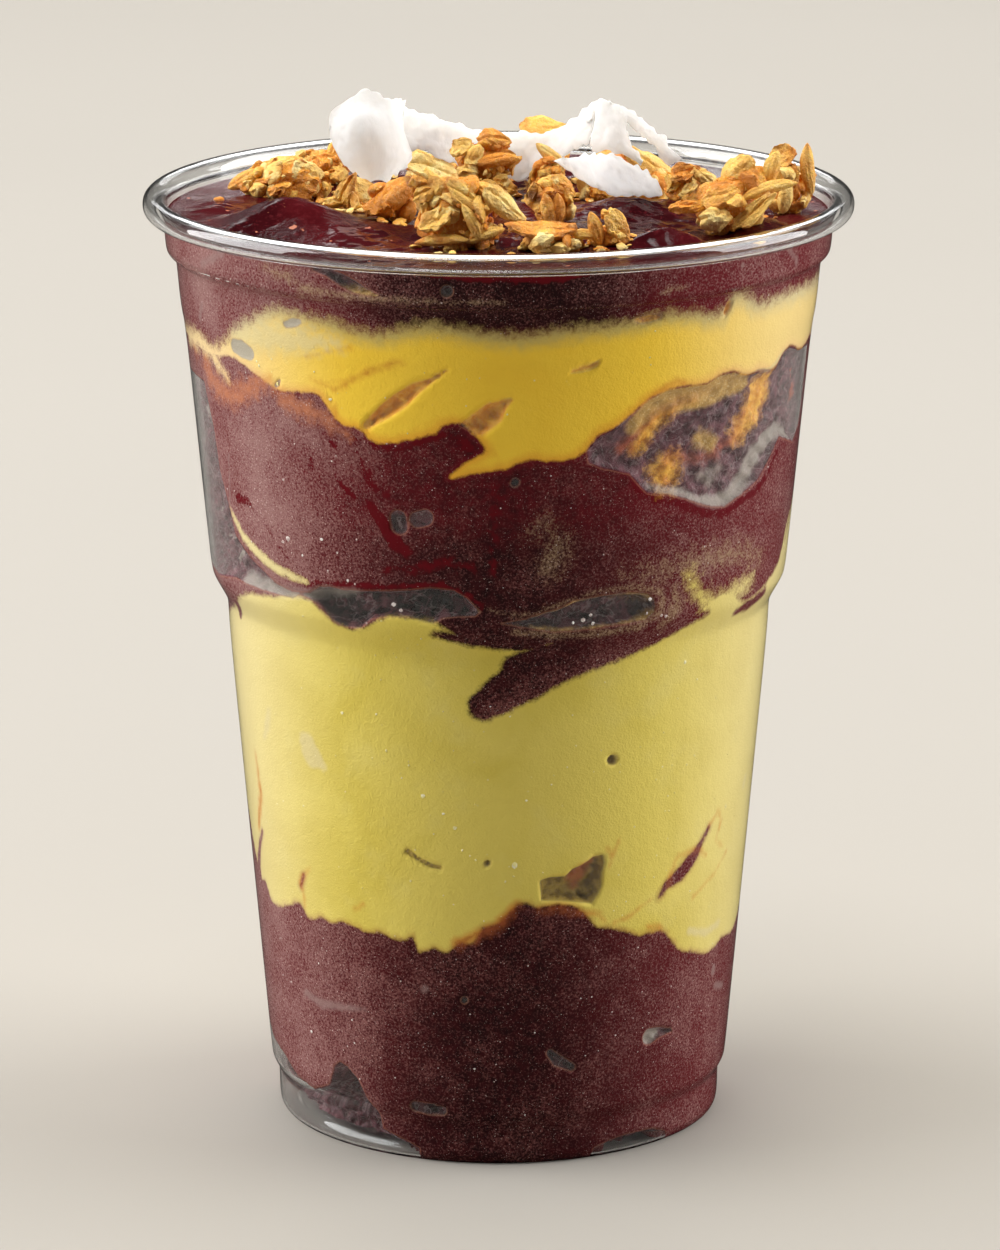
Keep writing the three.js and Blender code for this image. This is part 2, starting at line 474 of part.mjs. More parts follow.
// -------------------------------------------------------------------- coconut
// A thin wavy solid whose middle surface runs through a grid of points
function curvedSheet(rows, margin) {
  const across = rows.map((row) => new THREE.CatmullRomCurve3(
    row.map((point) => new THREE.Vector3(...point))));
  const [stepsLong, stepsWide] = [2 * rows[0].length, rows.length];
  const middleAt = (u, v) => {
    const line = across.map((curve) => curve.getPoint(u));
    return new THREE.CatmullRomCurve3(line).getPoint(v);
  };
  const nudge = 1e-3;
  const inside = (share) => Math.min(1 - nudge, Math.max(nudge, share));
  const surface = (u, v, side) => {
    const [s, t] = [inside(u), inside(v)];
    const along = middleAt(s + nudge, t).sub(middleAt(s - nudge, t)).normalize();
    const wide = middleAt(s, t + nudge).sub(middleAt(s, t - nudge)).normalize();
    const normal = along.clone().cross(wide).normalize();
    return middleAt(u, v)
      .addScaledVector(normal, side * (SHAVING_THICKNESS / 2 + margin))
      .addScaledVector(along, margin * Math.sign(Math.round(2 * u - 1)))
      .addScaledVector(wide, margin * Math.sign(Math.round(2 * v - 1)));
  };
  const points = [];
  const at = (i, j, side) => (side * (stepsWide + 1) + j) * (stepsLong + 1) + i;
  for (const side of [0, 1]) {
    for (let j = 0; j <= stepsWide; j += 1) {
      for (let i = 0; i <= stepsLong; i += 1) {
        points.push(surface(i / stepsLong, j / stepsWide, 2 * side - 1).toArray());
      }
    }
  }
  const faces = [];
  const quad = (a, b, c, d) => faces.push([a, b, c], [a, c, d]);
  for (let j = 0; j < stepsWide; j += 1) {
    for (let i = 0; i < stepsLong; i += 1) {
      quad(at(i, j, 1), at(i + 1, j, 1), at(i + 1, j + 1, 1), at(i, j + 1, 1));
      faces.push([at(i, j, 0), at(i + 1, j + 1, 0), at(i + 1, j, 0)]);
      faces.push([at(i, j, 0), at(i, j + 1, 0), at(i + 1, j + 1, 0)]);
    }
  }
  for (let i = 0; i < stepsLong; i += 1) {
    quad(at(i, 0, 0), at(i + 1, 0, 0), at(i + 1, 0, 1), at(i, 0, 1));
    quad(at(i, stepsWide, 1), at(i + 1, stepsWide, 1), at(i + 1, stepsWide, 0),
      at(i, stepsWide, 0));
  }
  for (let j = 0; j < stepsWide; j += 1) {
    quad(at(0, j, 1), at(0, j + 1, 1), at(0, j + 1, 0), at(0, j, 0));
    quad(at(stepsLong, j, 0), at(stepsLong, j + 1, 0), at(stepsLong, j + 1, 1),
      at(stepsLong, j, 1));
  }
  const geometry = new THREE.BufferGeometry();
  geometry.setAttribute('position', new THREE.Float32BufferAttribute(points.flat(), 3));
  geometry.setIndex(faces.flat());
  return solidOf(geometry);
}

function shaving({ grids }, margin = 0) {
  return Manifold.union(grids.map((rows) => curvedSheet(rows, margin)));
}

// ---------------------------------------------------------------------- object
const acaiCup = new THREE.Group();
const cup = turned(cupProfile());
acaiCup.add(meshOf('cup', cup, CLEAR));

const layers = makeLayers();
for (const [name, { solid, material }] of Object.entries(layers)) {
  acaiCup.add(meshOf(name, solid, material));
}

// The toppings bed into the acai, keep off the rim and keep off one another:
// each leaves room for all that was placed before it
const bed = below((x, y) => acaiTop(x, y) + GAP, topRings);
const collar = turned([
  [COLLAR_RADIUS - WALL - GAP, COLLAR_BOTTOM],
  [RIM_RADIUS + 1, COLLAR_BOTTOM],
  [RIM_RADIUS + 1, CUP_HEIGHT + GAP],
  [COLLAR_RADIUS, CUP_HEIGHT + GAP],
  [COLLAR_RADIUS - WALL - GAP, CUP_HEIGHT - 1],
  [COLLAR_RADIUS - WALL - GAP, COLLAR_BOTTOM],
]);
const placed = [];
const place = (name, solid, room, material) => {
  const cut = Manifold.difference([solid, bed, collar, ...placed]);
  acaiCup.add(meshOf(name, cut, material));
  placed.push(room);
};
for (const plan of SHAVINGS) place(plan.name, shaving(plan), shaving(plan, GAP), COCONUT);
for (const plan of CLUSTERS) {
  const material = plan.name === 'granola_glazed' ? GLAZED : GRANOLA;
  place(plan.name, granolaCluster(plan), granolaCluster(plan, GAP), material);
}

export default acaiCup;
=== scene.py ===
"""A layered acai cup, dressed over its CAD frame.

Lengths are millimetres until a mesh is made. Angles round the cup are degrees
from the front (-Y) towards +X. A mark on the food is a chain of discs, each
(angle, height, radius), that lie on the wall.
"""

import math
import random

import bmesh
import bpy
import numpy as np
from mathutils import Matrix, Vector, noise


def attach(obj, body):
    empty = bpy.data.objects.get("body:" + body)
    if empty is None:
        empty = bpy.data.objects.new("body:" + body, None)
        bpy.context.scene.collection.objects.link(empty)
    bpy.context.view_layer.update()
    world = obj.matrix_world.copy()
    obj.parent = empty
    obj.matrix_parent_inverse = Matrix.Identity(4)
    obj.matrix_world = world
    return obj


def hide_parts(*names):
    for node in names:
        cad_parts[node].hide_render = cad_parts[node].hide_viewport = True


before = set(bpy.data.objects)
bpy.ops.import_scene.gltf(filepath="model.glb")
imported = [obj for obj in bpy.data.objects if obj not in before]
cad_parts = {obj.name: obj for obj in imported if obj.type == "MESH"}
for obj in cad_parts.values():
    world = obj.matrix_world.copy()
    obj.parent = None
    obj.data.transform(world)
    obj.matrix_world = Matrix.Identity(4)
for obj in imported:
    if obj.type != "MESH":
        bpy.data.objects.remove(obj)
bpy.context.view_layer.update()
MM = 0.001

# ------------------------------------------------------------------ cup sizes
SHEET = 0.45
REACH = 0.15
CUP_SEGMENTS = 224
MENISCUS = 0.35
MENISCUS_FALL = 45
FILL_LEVEL = 123.6
COLLAR_RADIUS = 44.75
MIDDLE_RADIUS = 38
BASE_TOP = 1.4 + SHEET

# Outer side of the formed sheet, from the middle of the base to the lip
OUTER_SIDE = [
    (0, 1.4), (12, 1.4), (24, 1.4), (26.4, 1.35), (27, 1.05), (27.35, 0.4), (27.9, 0.02), (28.4, 0),
    (29, 0.02), (29.7, 0.25), (30.05, 0.9), (30.15, 2.5), (30.2, 5.2), (30.35, 5.8), (31, 6.9),
    (31.2, 7.6), (32, 16.7), (34, 39.4), (36.4, 66.6), (36.6, 71.3), (36.9, 72.3), (38.2, 74.6),
    (38.6, 75.4), (38.75, 76.2), (38.95, 77.6), (40.4, 92.8), (41.95, 109.1), (42.55, 112.1),
    (43, 117.3), (43.2, 118.6), (43.5, 119), (44.15, 119.25), (44.4, 119.7), (44.6, 122),
    (44.75, 124.4), (44.85, 125.4), (45.15, 126.15), (45.8, 126.5), (46.5, 126.4), (46.9, 126),
    (47.02, 125.4), (46.9, 124.8), (46.5, 124.45), (46, 124.45), (45.7, 124.75),
]


def rounded(line):
    """The line with each corner cut twice, its ends kept."""
    points = np.array(line, float)
    for _ in range(2):
        near = 0.75 * points[:-1] + 0.25 * points[1:]
        far = 0.25 * points[:-1] + 0.75 * points[1:]
        middle = np.stack([near, far], 1).reshape(-1, 2)
        points = np.vstack([points[:1], middle, points[-1:]])
    return points


def moved_in(points, distance):
    """The line moved to its left, which is the food's side of the sheet."""
    along = np.gradient(points, axis=0)
    along /= np.linalg.norm(along, axis=1)[:, None]
    return points + distance * np.stack([-along[:, 1], along[:, 0]], 1)


OUTER_LINE = rounded(OUTER_SIDE)
INNER_LINE = moved_in(OUTER_LINE, SHEET)
WALL_PART = (INNER_LINE[:, 1] > 0.6) & (INNER_LINE[:, 1] < 125) & (INNER_LINE[:, 0] > 28)


def inner_radius(height):
    """Radius of the wall's inside at a height."""
    part = INNER_LINE[WALL_PART]
    return np.interp(height, part[:, 1], part[:, 0])


# Mounds and hollows in the acai's top: (x, y, half width, half depth, rise)
MOUNDS = [
    (-27, -12, 10, 7, 3), (21, -26, 6.5, 3, 2.6), (35, -15, 5, 4.5, 2.1), (17, 0, 8, 6, 2.3),
    (-9, -16, 4, 4, -0.5), (4, -34, 9, 4, -0.4), (-34, 8, 5, 5, 0.6),
]
RIPPLE = 0.25
COLLAR_WAVE = 0.15
# The broad crest that the finished front mound has on top of these
FRONT_CREST = (-29, -12, 8, 6, 1.1)
# Its finished surface: height and fineness of the lumps and of the small grains
LUMP_RISE = 0.5
LUMP_SCALE = 0.22
SURFACE_GRAIN_RISE = 0.1
SURFACE_GRAIN_SCALE = 1.3

# -------------------------------------------------------------- layer outlines
# Each line is (angle, height) all round, the front half as seen and the back in its manner
GREEN_BOTTOM = [
    (-85, 44), (-78, 37.5), (-74, 34.2), (-69.5, 33.8), (-67.5, 32.1), (-64, 31.7), (-57.5, 32.7),
    (-52, 33.3), (-50.5, 32.2), (-45, 32.7), (-42.5, 32.2), (-38.5, 32.8), (-35, 32.5), (-31.5, 32),
    (-28, 32.3), (-25.5, 31.8), (-22, 31.7), (-19.5, 31.7), (-19, 30.6), (-17.5, 30.4), (-15, 31),
    (-12, 30.5), (-9, 31.9), (-5.5, 32.3), (-4, 33.8), (-0.5, 34.7), (3, 36.7), (4.5, 37.5), (9, 37),
    (14, 37.2), (20, 35.6), (22.5, 33.7), (26.5, 33.1), (29.5, 32.5), (34.5, 31.3), (38, 31.4),
    (41.5, 31.2), (44.5, 29.4), (48, 27.6), (52.5, 26.8), (58.5, 25.8), (61.5, 25.8), (66, 26.6),
    (75.5, 26.4), (84, 28.5), (92, 30.2), (101, 29.4), (110, 32.6), (119, 34.8), (127, 33.2), (136, 34.6),
    (146, 31), (153, 32.2), (163, 29.2), (172, 30.8), (183, 28.3), (191, 29.6), (202, 27.9), (213, 31.8),
    (224, 32.4), (233, 36.5), (244, 38.8), (256, 41.5), (266, 45),
]
GREEN_TOP = [
    (-85, 70), (-77, 71.5), (-66, 74.4), (-59, 76.3), (-50, 77.1), (-43, 78.1), (-39, 77.6), (-36, 76.3),
    (-34, 75.3), (-28, 75), (-22, 77), (-17, 77.2), (-12, 76.6), (-7, 74.4), (0, 73.6), (12, 73.4),
    (19, 72.2), (26, 71.8), (37, 73.4), (44, 76.4), (50, 77.6), (58, 75.4), (64, 76), (70, 77.4),
    (76, 79.6), (82, 84.5), (88, 88), (95, 83.6), (101, 79), (110, 79.6), (119, 76.4), (128, 74.4),
    (136, 72.4), (145, 73.2), (155, 70.2), (164, 68), (174, 69.4), (184, 71), (193, 72.8), (203, 72),
    (213, 73.9), (223, 71.2), (233, 70.2), (243, 71), (254, 68.6), (266, 70.4),
]
YELLOW_BOTTOM = [
    (-85, 108.6), (-79, 108.8), (-68.5, 108.2), (-62, 108.4), (-56, 109), (-49.5, 107.6), (-43.5, 106),
    (-38, 106.3), (-33.5, 105.9), (-31.5, 104.1), (-29.5, 102.7), (-27, 102.5), (-25, 102), (-23.5, 101),
    (-20, 100.8), (-17, 101.3), (-13.5, 102.5), (-10.5, 103.4), (-7, 103.9), (-3.5, 101.8), (0.5, 97.8),
    (4, 99), (10, 98.8), (14, 99.2), (16, 100.1), (18, 101.8), (21, 102.7), (24, 104.2), (27.5, 106.1),
    (31.5, 107.1), (35, 107.4), (40.5, 107.3), (43.5, 108), (47, 108.2), (50.5, 107.2), (55, 107.4),
    (60, 106.9), (63.5, 108.8), (66.5, 109.2), (71.5, 108), (82, 108.5), (91, 107.2), (100, 108.1),
    (108, 105.4), (116, 106.6), (124, 102.6), (131, 101.6), (139, 103.4), (147, 99.4), (156, 100.9),
    (166, 98.4), (173, 101.4), (181, 104.6), (190, 103.2), (198, 105), (207, 101.2), (216, 100),
    (225, 102.6), (234, 101.4), (243, 105.4), (252, 107.2), (262, 106.2), (268, 108),
]
YELLOW_TOP = [
    (-85, 109.8), (-76, 109.6), (-65.5, 109.4), (-60, 110), (-57, 111.4), (-54.5, 112.7), (-48.5, 115.1),
    (-41.5, 117.1), (-36, 116.9), (-30, 116.4), (-26, 115.8), (-21.5, 115.5), (-17.5, 116.2),
    (-14, 116.9), (-8, 116.8), (-2.5, 116.1), (3.5, 115.8), (11.5, 116.5), (23, 116.9), (29.5, 117.5),
    (36, 117.2), (42.5, 116.9), (45, 118.5), (52.5, 116.7), (58.5, 116.8), (65.5, 116.9), (80, 116.5),
    (92, 117.2), (103, 115.4), (114, 114.6), (125, 115.6), (136, 113.2), (148, 113.8), (160, 115.6),
    (171, 114.8), (182, 116.8), (194, 115.8), (206, 117), (218, 115), (230, 113.4), (242, 113.9),
    (254, 111.6), (266, 110.2),
]

# ----------------------------------------------------------- marks on the wall
# Cream on the acai's side of a line
CREAM_MARKS = {
    "left band": ([(-78.5, 108.9, 1.1), (-70, 109.3, 1.1), (-65, 108.7, 0.9), (-62.5, 107.7, 0.7),
        (-60.5, 106.6, 0.4), (-58.5, 105.5, 0.2)], 1.5),
    "long tongue": ([(7.5, 101.7, 1.9), (0.5, 99.4, 1.6), (-5, 98, 0.9), (-8.5, 96.7, 0.3)], 0.35),
    "second tongue": ([(-12, 103.6, 1.2), (-17, 102.5, 1.2), (-20.5, 101.9, 0.9),
        (-23.5, 101.7, 0.7)], 0.35),
    "first tongue": ([(-27, 106.8, 2.7), (-28.5, 104.7, 1.9), (-27, 103.7, 1.1)], 0.35),
    "left seam": ([(-63, 87.4, 0.2), (-62, 86.6, 0.3), (-60.5, 85.8, 0.4), (-58.5, 84.3, 0.5),
        (-55.5, 83.2, 0.6), (-52.5, 82.3, 0.6), (-49, 81.4, 0.6), (-44.5, 80.8, 0.5),
        (-40, 80.3, 0.3)], 0.5),
    "right seam": ([(80, 84, 0.4), (78, 82.5, 0.4), (75.5, 79.1, 0.5), (73.5, 76.5, 0.5),
        (72.5, 74.7, 0.4)], 0.5),
    "back swirl": ([(128, 99, 0.5), (136, 97.5, 1.1), (146, 95.6, 1.3), (155, 96.4, 0.5)], 0.35),
    "back tongue": ([(204, 101.5, 1.6), (212, 98.6, 1.3), (219, 96.6, 0.4)], 0.35),
    "back seam": ([(-98, 84, 0.5), (-106, 81, 0.8), (-115, 78, 0.9), (-122, 76.5, 0.5)], 0.35),
    "right patch": ([(39.5, 81.1, 0.3), (42, 78.6, 0.5), (46.5, 76.4, 0.8), (52.5, 76.8, 1.2),
        (58.5, 78.2, 0.7)], 2),
    "gap band": ([(26, 99.6, 0.7), (27.5, 100.6, 0.9), (28.5, 101.9, 1.1), (30, 103, 0.9),
        (32.5, 103.9, 0.8), (35, 104.8, 0.5), (39, 105.1, 0.4)], 1.3),
    "gap bead": ([(33, 95.8, 2), (33.5, 97, 1.5)], 2.2),
    "gap blobs": ([(51.5, 99.5, 1.6), (53.5, 100.6, 1.6), (56, 102.5, 2.3), (57, 104, 2.4),
        (58, 105.3, 1.7)], 1.8),
}
# Acai on the cream's side of a line
ACAI_MARKS = {
    "left wedge": ([(-76, 75.2, 0.5), (-72.5, 74.6, 0.7), (-68.5, 73.6, 0.9), (-70.5, 71.3, 0.5)], 0.35),
    "left strip": ([(-69, 41.4, 0.3), (-72.5, 38.6, 0.5), (-75, 35.8, 0.7), (-74.5, 33.6, 0.8),
        (-74, 31.3, 0.8)], 0.35),
    "streak": ([(39.5, 36.2, 0.2), (41.5, 37.6, 0.6), (45.5, 38.7, 1), (48.5, 40, 1.1), (50.5, 40.9, 0.8),
        (52.5, 42.3, 0.4), (55, 44.2, 0.3)], 0.35),
    "left burnt": ([(-50.5, 37.9, 0.3), (-51.8, 36.3, 0.3)], 0.35),
    "back streak": ([(120, 43, 0.3), (127, 46.6, 1.1), (133, 49.6, 1.2), (139, 54, 0.4)], 0.35),
    "back lobe": ([(190, 70.5, 2.2), (197, 67.8, 2.4), (205, 64.6, 2.2), (211, 63, 1.2)], 0.35),
    "back drip": ([(228, 36, 1.6), (231, 40.5, 0.8), (233, 44, 0.3)], 0.35),
    "yellow slit": ([(150, 107.4, 0.3), (157, 108.8, 0.6), (163, 110.4, 0.3)], 0.35),
    "tongue": ([(-3, 65.2, 2.1), (1, 67, 2.7), (6, 68.9, 3.1), (12, 70.5, 2.7), (18.5, 71.7, 2.3),
        (25.5, 72.4, 1.9), (32.5, 73.3, 1.4), (39, 74.7, 1), (45.5, 75.6, 0.5)], 0.6),
    "under the waist": ([(-12.5, 75.2, 0.5), (-8.5, 74.8, 0.8), (-3, 74.4, 1.1), (2, 74.1, 1.1),
        (8, 73.8, 1.2)], 0.6),
    "right of patch": ([(56, 74.2, 0.5), (61, 74.6, 0.9), (66.5, 75.3, 0.7)], 0.5),
    "tongue fill": ([(3, 70.6, 1.6), (9, 72, 1.9), (15, 72.8, 1.9), (21, 73.6, 1.8), (28, 74.2, 1.6),
        (35, 74.8, 1.3)], 0.6),
    "gap dark": ([(49, 104.2, 0.4), (46.5, 103.2, 0.67), (43, 102.3, 0.94), (39, 101.6, 1.07),
        (35.5, 100.9, 1.07), (33, 99.9, 1.07), (30.5, 99, 0.94), (28, 97.9, 0.8), (26.5, 96.8, 0.8),
        (28, 95.3, 0.8)], 0.8),
}
# Air against the wall: marks, depth, width of the shoulder and how milky the inside is
HOLLOW_MARKS = {
    "slit pocket": ([(-24.5, 102.8, 0.6), (-20.5, 105.1, 1.1), (-17.5, 106.7, 1.2), (-15, 108.2, 0.9),
        (-12, 109.5, 0.4), (-9, 111, 0.25)], 1, 0.8, 0.1),
    "three-sided pocket": ([(-6.5, 103.8, 0.4), (-3.5, 103.9, 1.6), (-1, 105.3, 1.6), (1, 106.6, 0.7),
        (2.5, 107.1, 0.2)], 1, 0.9, 0.1),
    "yellow slit": ([(13, 110.8, 0.3), (15, 111.2, 0.5), (17.5, 111.5, 0.35)], 0.6, 0.4, 0.1),
    "top hole": ([(-8.5, 121.7, 0.8)], 1.4, 0.5, 0.3),
    "top pocket": ([(-32, 123.4, 0.33), (-29.5, 123.2, 0.6), (-27, 122.4, 0.87), (-24.5, 121.6, 0.87),
        (-22.5, 121.1, 0.54), (-20.5, 120.7, 0.2)], 1, 0.7, 0.25),
    "small pocket": ([(24.5, 116.9, 0.35), (26.5, 117, 0.55), (29, 117.2, 0.4)], 0.9, 0.4, 0.1),
    "right pocket": ([(43.5, 116.5, 0.5), (44, 117.4, 0.6)], 0.7, 0.4, 0.1),
    "hole": ([(3, 96, 0.6)], 1.2, 0.4, 0.1),
    "twin left": ([(-18.9, 90.7, 1.1), (-18.7, 89.6, 1.1)], 0.5, 0.25, 0.15),
    "twin right": ([(-15.1, 90.7, 1.1), (-13.7, 91, 1.1)], 0.5, 0.25, 0.15),
    "green hole": ([(25, 56.8, 0.75)], 1.2, 0.4, 0.1),
    "green slit": ([(-20.5, 44.3, 0.5), (-18, 43.4, 0.4), (-15.5, 42.7, 0.45),
        (-13, 42.4, 0.4)], 0.3, 0.4, 0.3),
    "green bead": ([(-2.5, 43.3, 0.5)], 0.9, 0.4, 0.1),
    "wall drop": ([(39.5, 16.4, 1.2), (42.5, 16.6, 0.8), (46.5, 16.4, 0.3)], 0.8, 0.5, 0.3),
    "wavy slit": ([(12.5, 16.1, 0.5), (14.5, 14.9, 0.8), (18, 13.8, 0.5)], 0.8, 0.4, 0.1),
    "low slit": ([(-21, 8, 0.7), (-17.5, 7.8, 0.8), (-14, 7.7, 0.6)], 1, 0.4, 0.1),
    "low dot": ([(-8, 23.8, 0.5)], 0.7, 0.4, 0.1),
    "back pocket": ([(160, 78, 0.6), (167, 76.4, 1.6), (176, 75.6, 1.9), (184, 76.4, 0.8)], 2.4, 1, 0.1),
    "back slit": ([(214, 109, 0.3), (220, 110.6, 0.9), (227, 112, 0.3)], 0.9, 0.6, 0.1),
    "back low": ([(150, 14, 0.5), (154, 15.4, 1), (158, 16.4, 0.4)], 0.8, 0.4, 0.1),
    "back bead": ([(205, 52, 0.8)], 1, 0.4, 0.1),
    "back bead two": ([(118, 88, 0.7), (121, 89.2, 0.6)], 0.8, 0.4, 0.1),
    "left bubble": ([(-54.5, 110.6, 1.1), (-52.5, 110.5, 1.3), (-50.5, 110.2, 1.1)], 0.12, 0.5, 1),
    "upper bubble": ([(-40, 115.2, 0.5), (-38.5, 115.5, 0.7), (-37, 115.8, 0.5)], 0.12, 0.4, 1),
    "left bead": ([(-44, 106.5, 0.37), (-43, 107.2, 0.35)], 0.3, 0.3, 0.6),
    "first bead": ([(-31.5, 105.9, 0.35)], 0.3, 0.3, 0.4),
}
# Larger air pockets by their outlines
HOLLOW_OUTLINES = {
    "waist left": ([(-43.5, 78.6), (-39.5, 78.9), (-37, 80), (-34.5, 80.3), (-31.5, 80.1), (-25.5, 80.4),
        (-17.5, 81), (-13, 81.5), (-8.5, 81.3), (-6, 80.3), (-3.5, 78.5), (-4.5, 77.9), (-8.5, 77.7),
        (-10.5, 77.5), (-13, 76.6), (-14.5, 76.8), (-17.5, 77.3), (-21.5, 77.2), (-25, 76.7), (-28, 75.1),
        (-31.5, 75), (-34, 75.4), (-35.5, 76.4), (-37.5, 77.5), (-39.5, 78.1)], 2.6, 1.1, 0),
    "waist right": ([(0.5, 76.9), (5, 77.4), (8.5, 78.2), (12.5, 78.9), (14.5, 79.7), (20.5, 80.1),
        (26, 80.2), (30, 79.7), (31.5, 78.8), (32, 77.1), (30, 76), (25.5, 75.9), (21, 75.8), (15.5, 75.6),
        (10.5, 75.6), (6, 76.2)], 2.2, 1, 0.15),
    "right gap": ([(16, 100.1), (18, 101.7), (21, 102.7), (24, 104.3), (27.5, 106.1), (31.5, 107.2),
        (35, 107.3), (40.5, 107.2), (43.5, 108.1), (47, 108.1), (51, 107.3), (55, 107.3), (60.5, 106.9),
        (63.5, 108.8), (66, 109.2), (72, 108), (80, 107.7), (82, 100.5), (80, 96.7), (74.5, 94.8),
        (65.5, 96.8), (61.5, 94.1), (58, 92), (53, 90.8), (47.5, 89.7), (43, 90.3), (38, 91.7), (34, 92.7),
        (28.5, 93.4), (26.5, 94.8), (24.5, 96.4), (19.5, 97.3), (16.5, 98.3)], 0.9, 1.4, 0.45),
    "left gap": ([(-96, 104), (-70, 104), (-67, 98), (-66, 92.2), (-65, 90.7), (-63, 87.3), (-61.5, 84),
        (-56.5, 81.7), (-52, 80.4), (-48.5, 79.2), (-44, 78.6), (-41.5, 78.7), (-44, 77.6), (-49, 77.6),
        (-56.5, 77.6), (-63.5, 77.8), (-74.5, 76.5), (-90, 77)], 1.1, 1.6, 0.45),
    "green pocket": ([(9, 40.7), (11.5, 41.2), (15, 41.2), (16.5, 42.1), (19, 42.6), (21.5, 43.6),
        (24, 43.7), (24.5, 42.5), (24, 41.1), (24, 39.2), (23, 37.9), (21.5, 36.8), (18, 37.2), (14, 37.6),
        (9.5, 37.8)], 1.8, 0.9, 0),
    "foot left": ([(-92, 14), (-77.5, 10.8), (-68, 9.8), (-61, 7.8), (-53.5, 7.1), (-47, 8.5),
        (-44.5, 11.7), (-42.5, 12.4), (-40, 12), (-37, 10.6), (-34.5, 8.1), (-32, 6.6), (-31, 3.8),
        (-24, 2.6), (-20.5, 1.8), (-21, -4), (-100, -4)], 3.6, 2.2, 0.3),
    "foot right": ([(25, 1.4), (29.5, 2.2), (35, 2.6), (43.5, 2.5), (49, 1.4), (50, -3),
        (24, -3)], 1.6, 0.8, 0.3),
    "foot back": ([(150, -4), (154, 2.5), (163, 3.6), (176, 5.4), (188, 7.6), (197, 5.2), (206, 3),
        (212, -4)], 2.4, 1.6, 0.3),
}
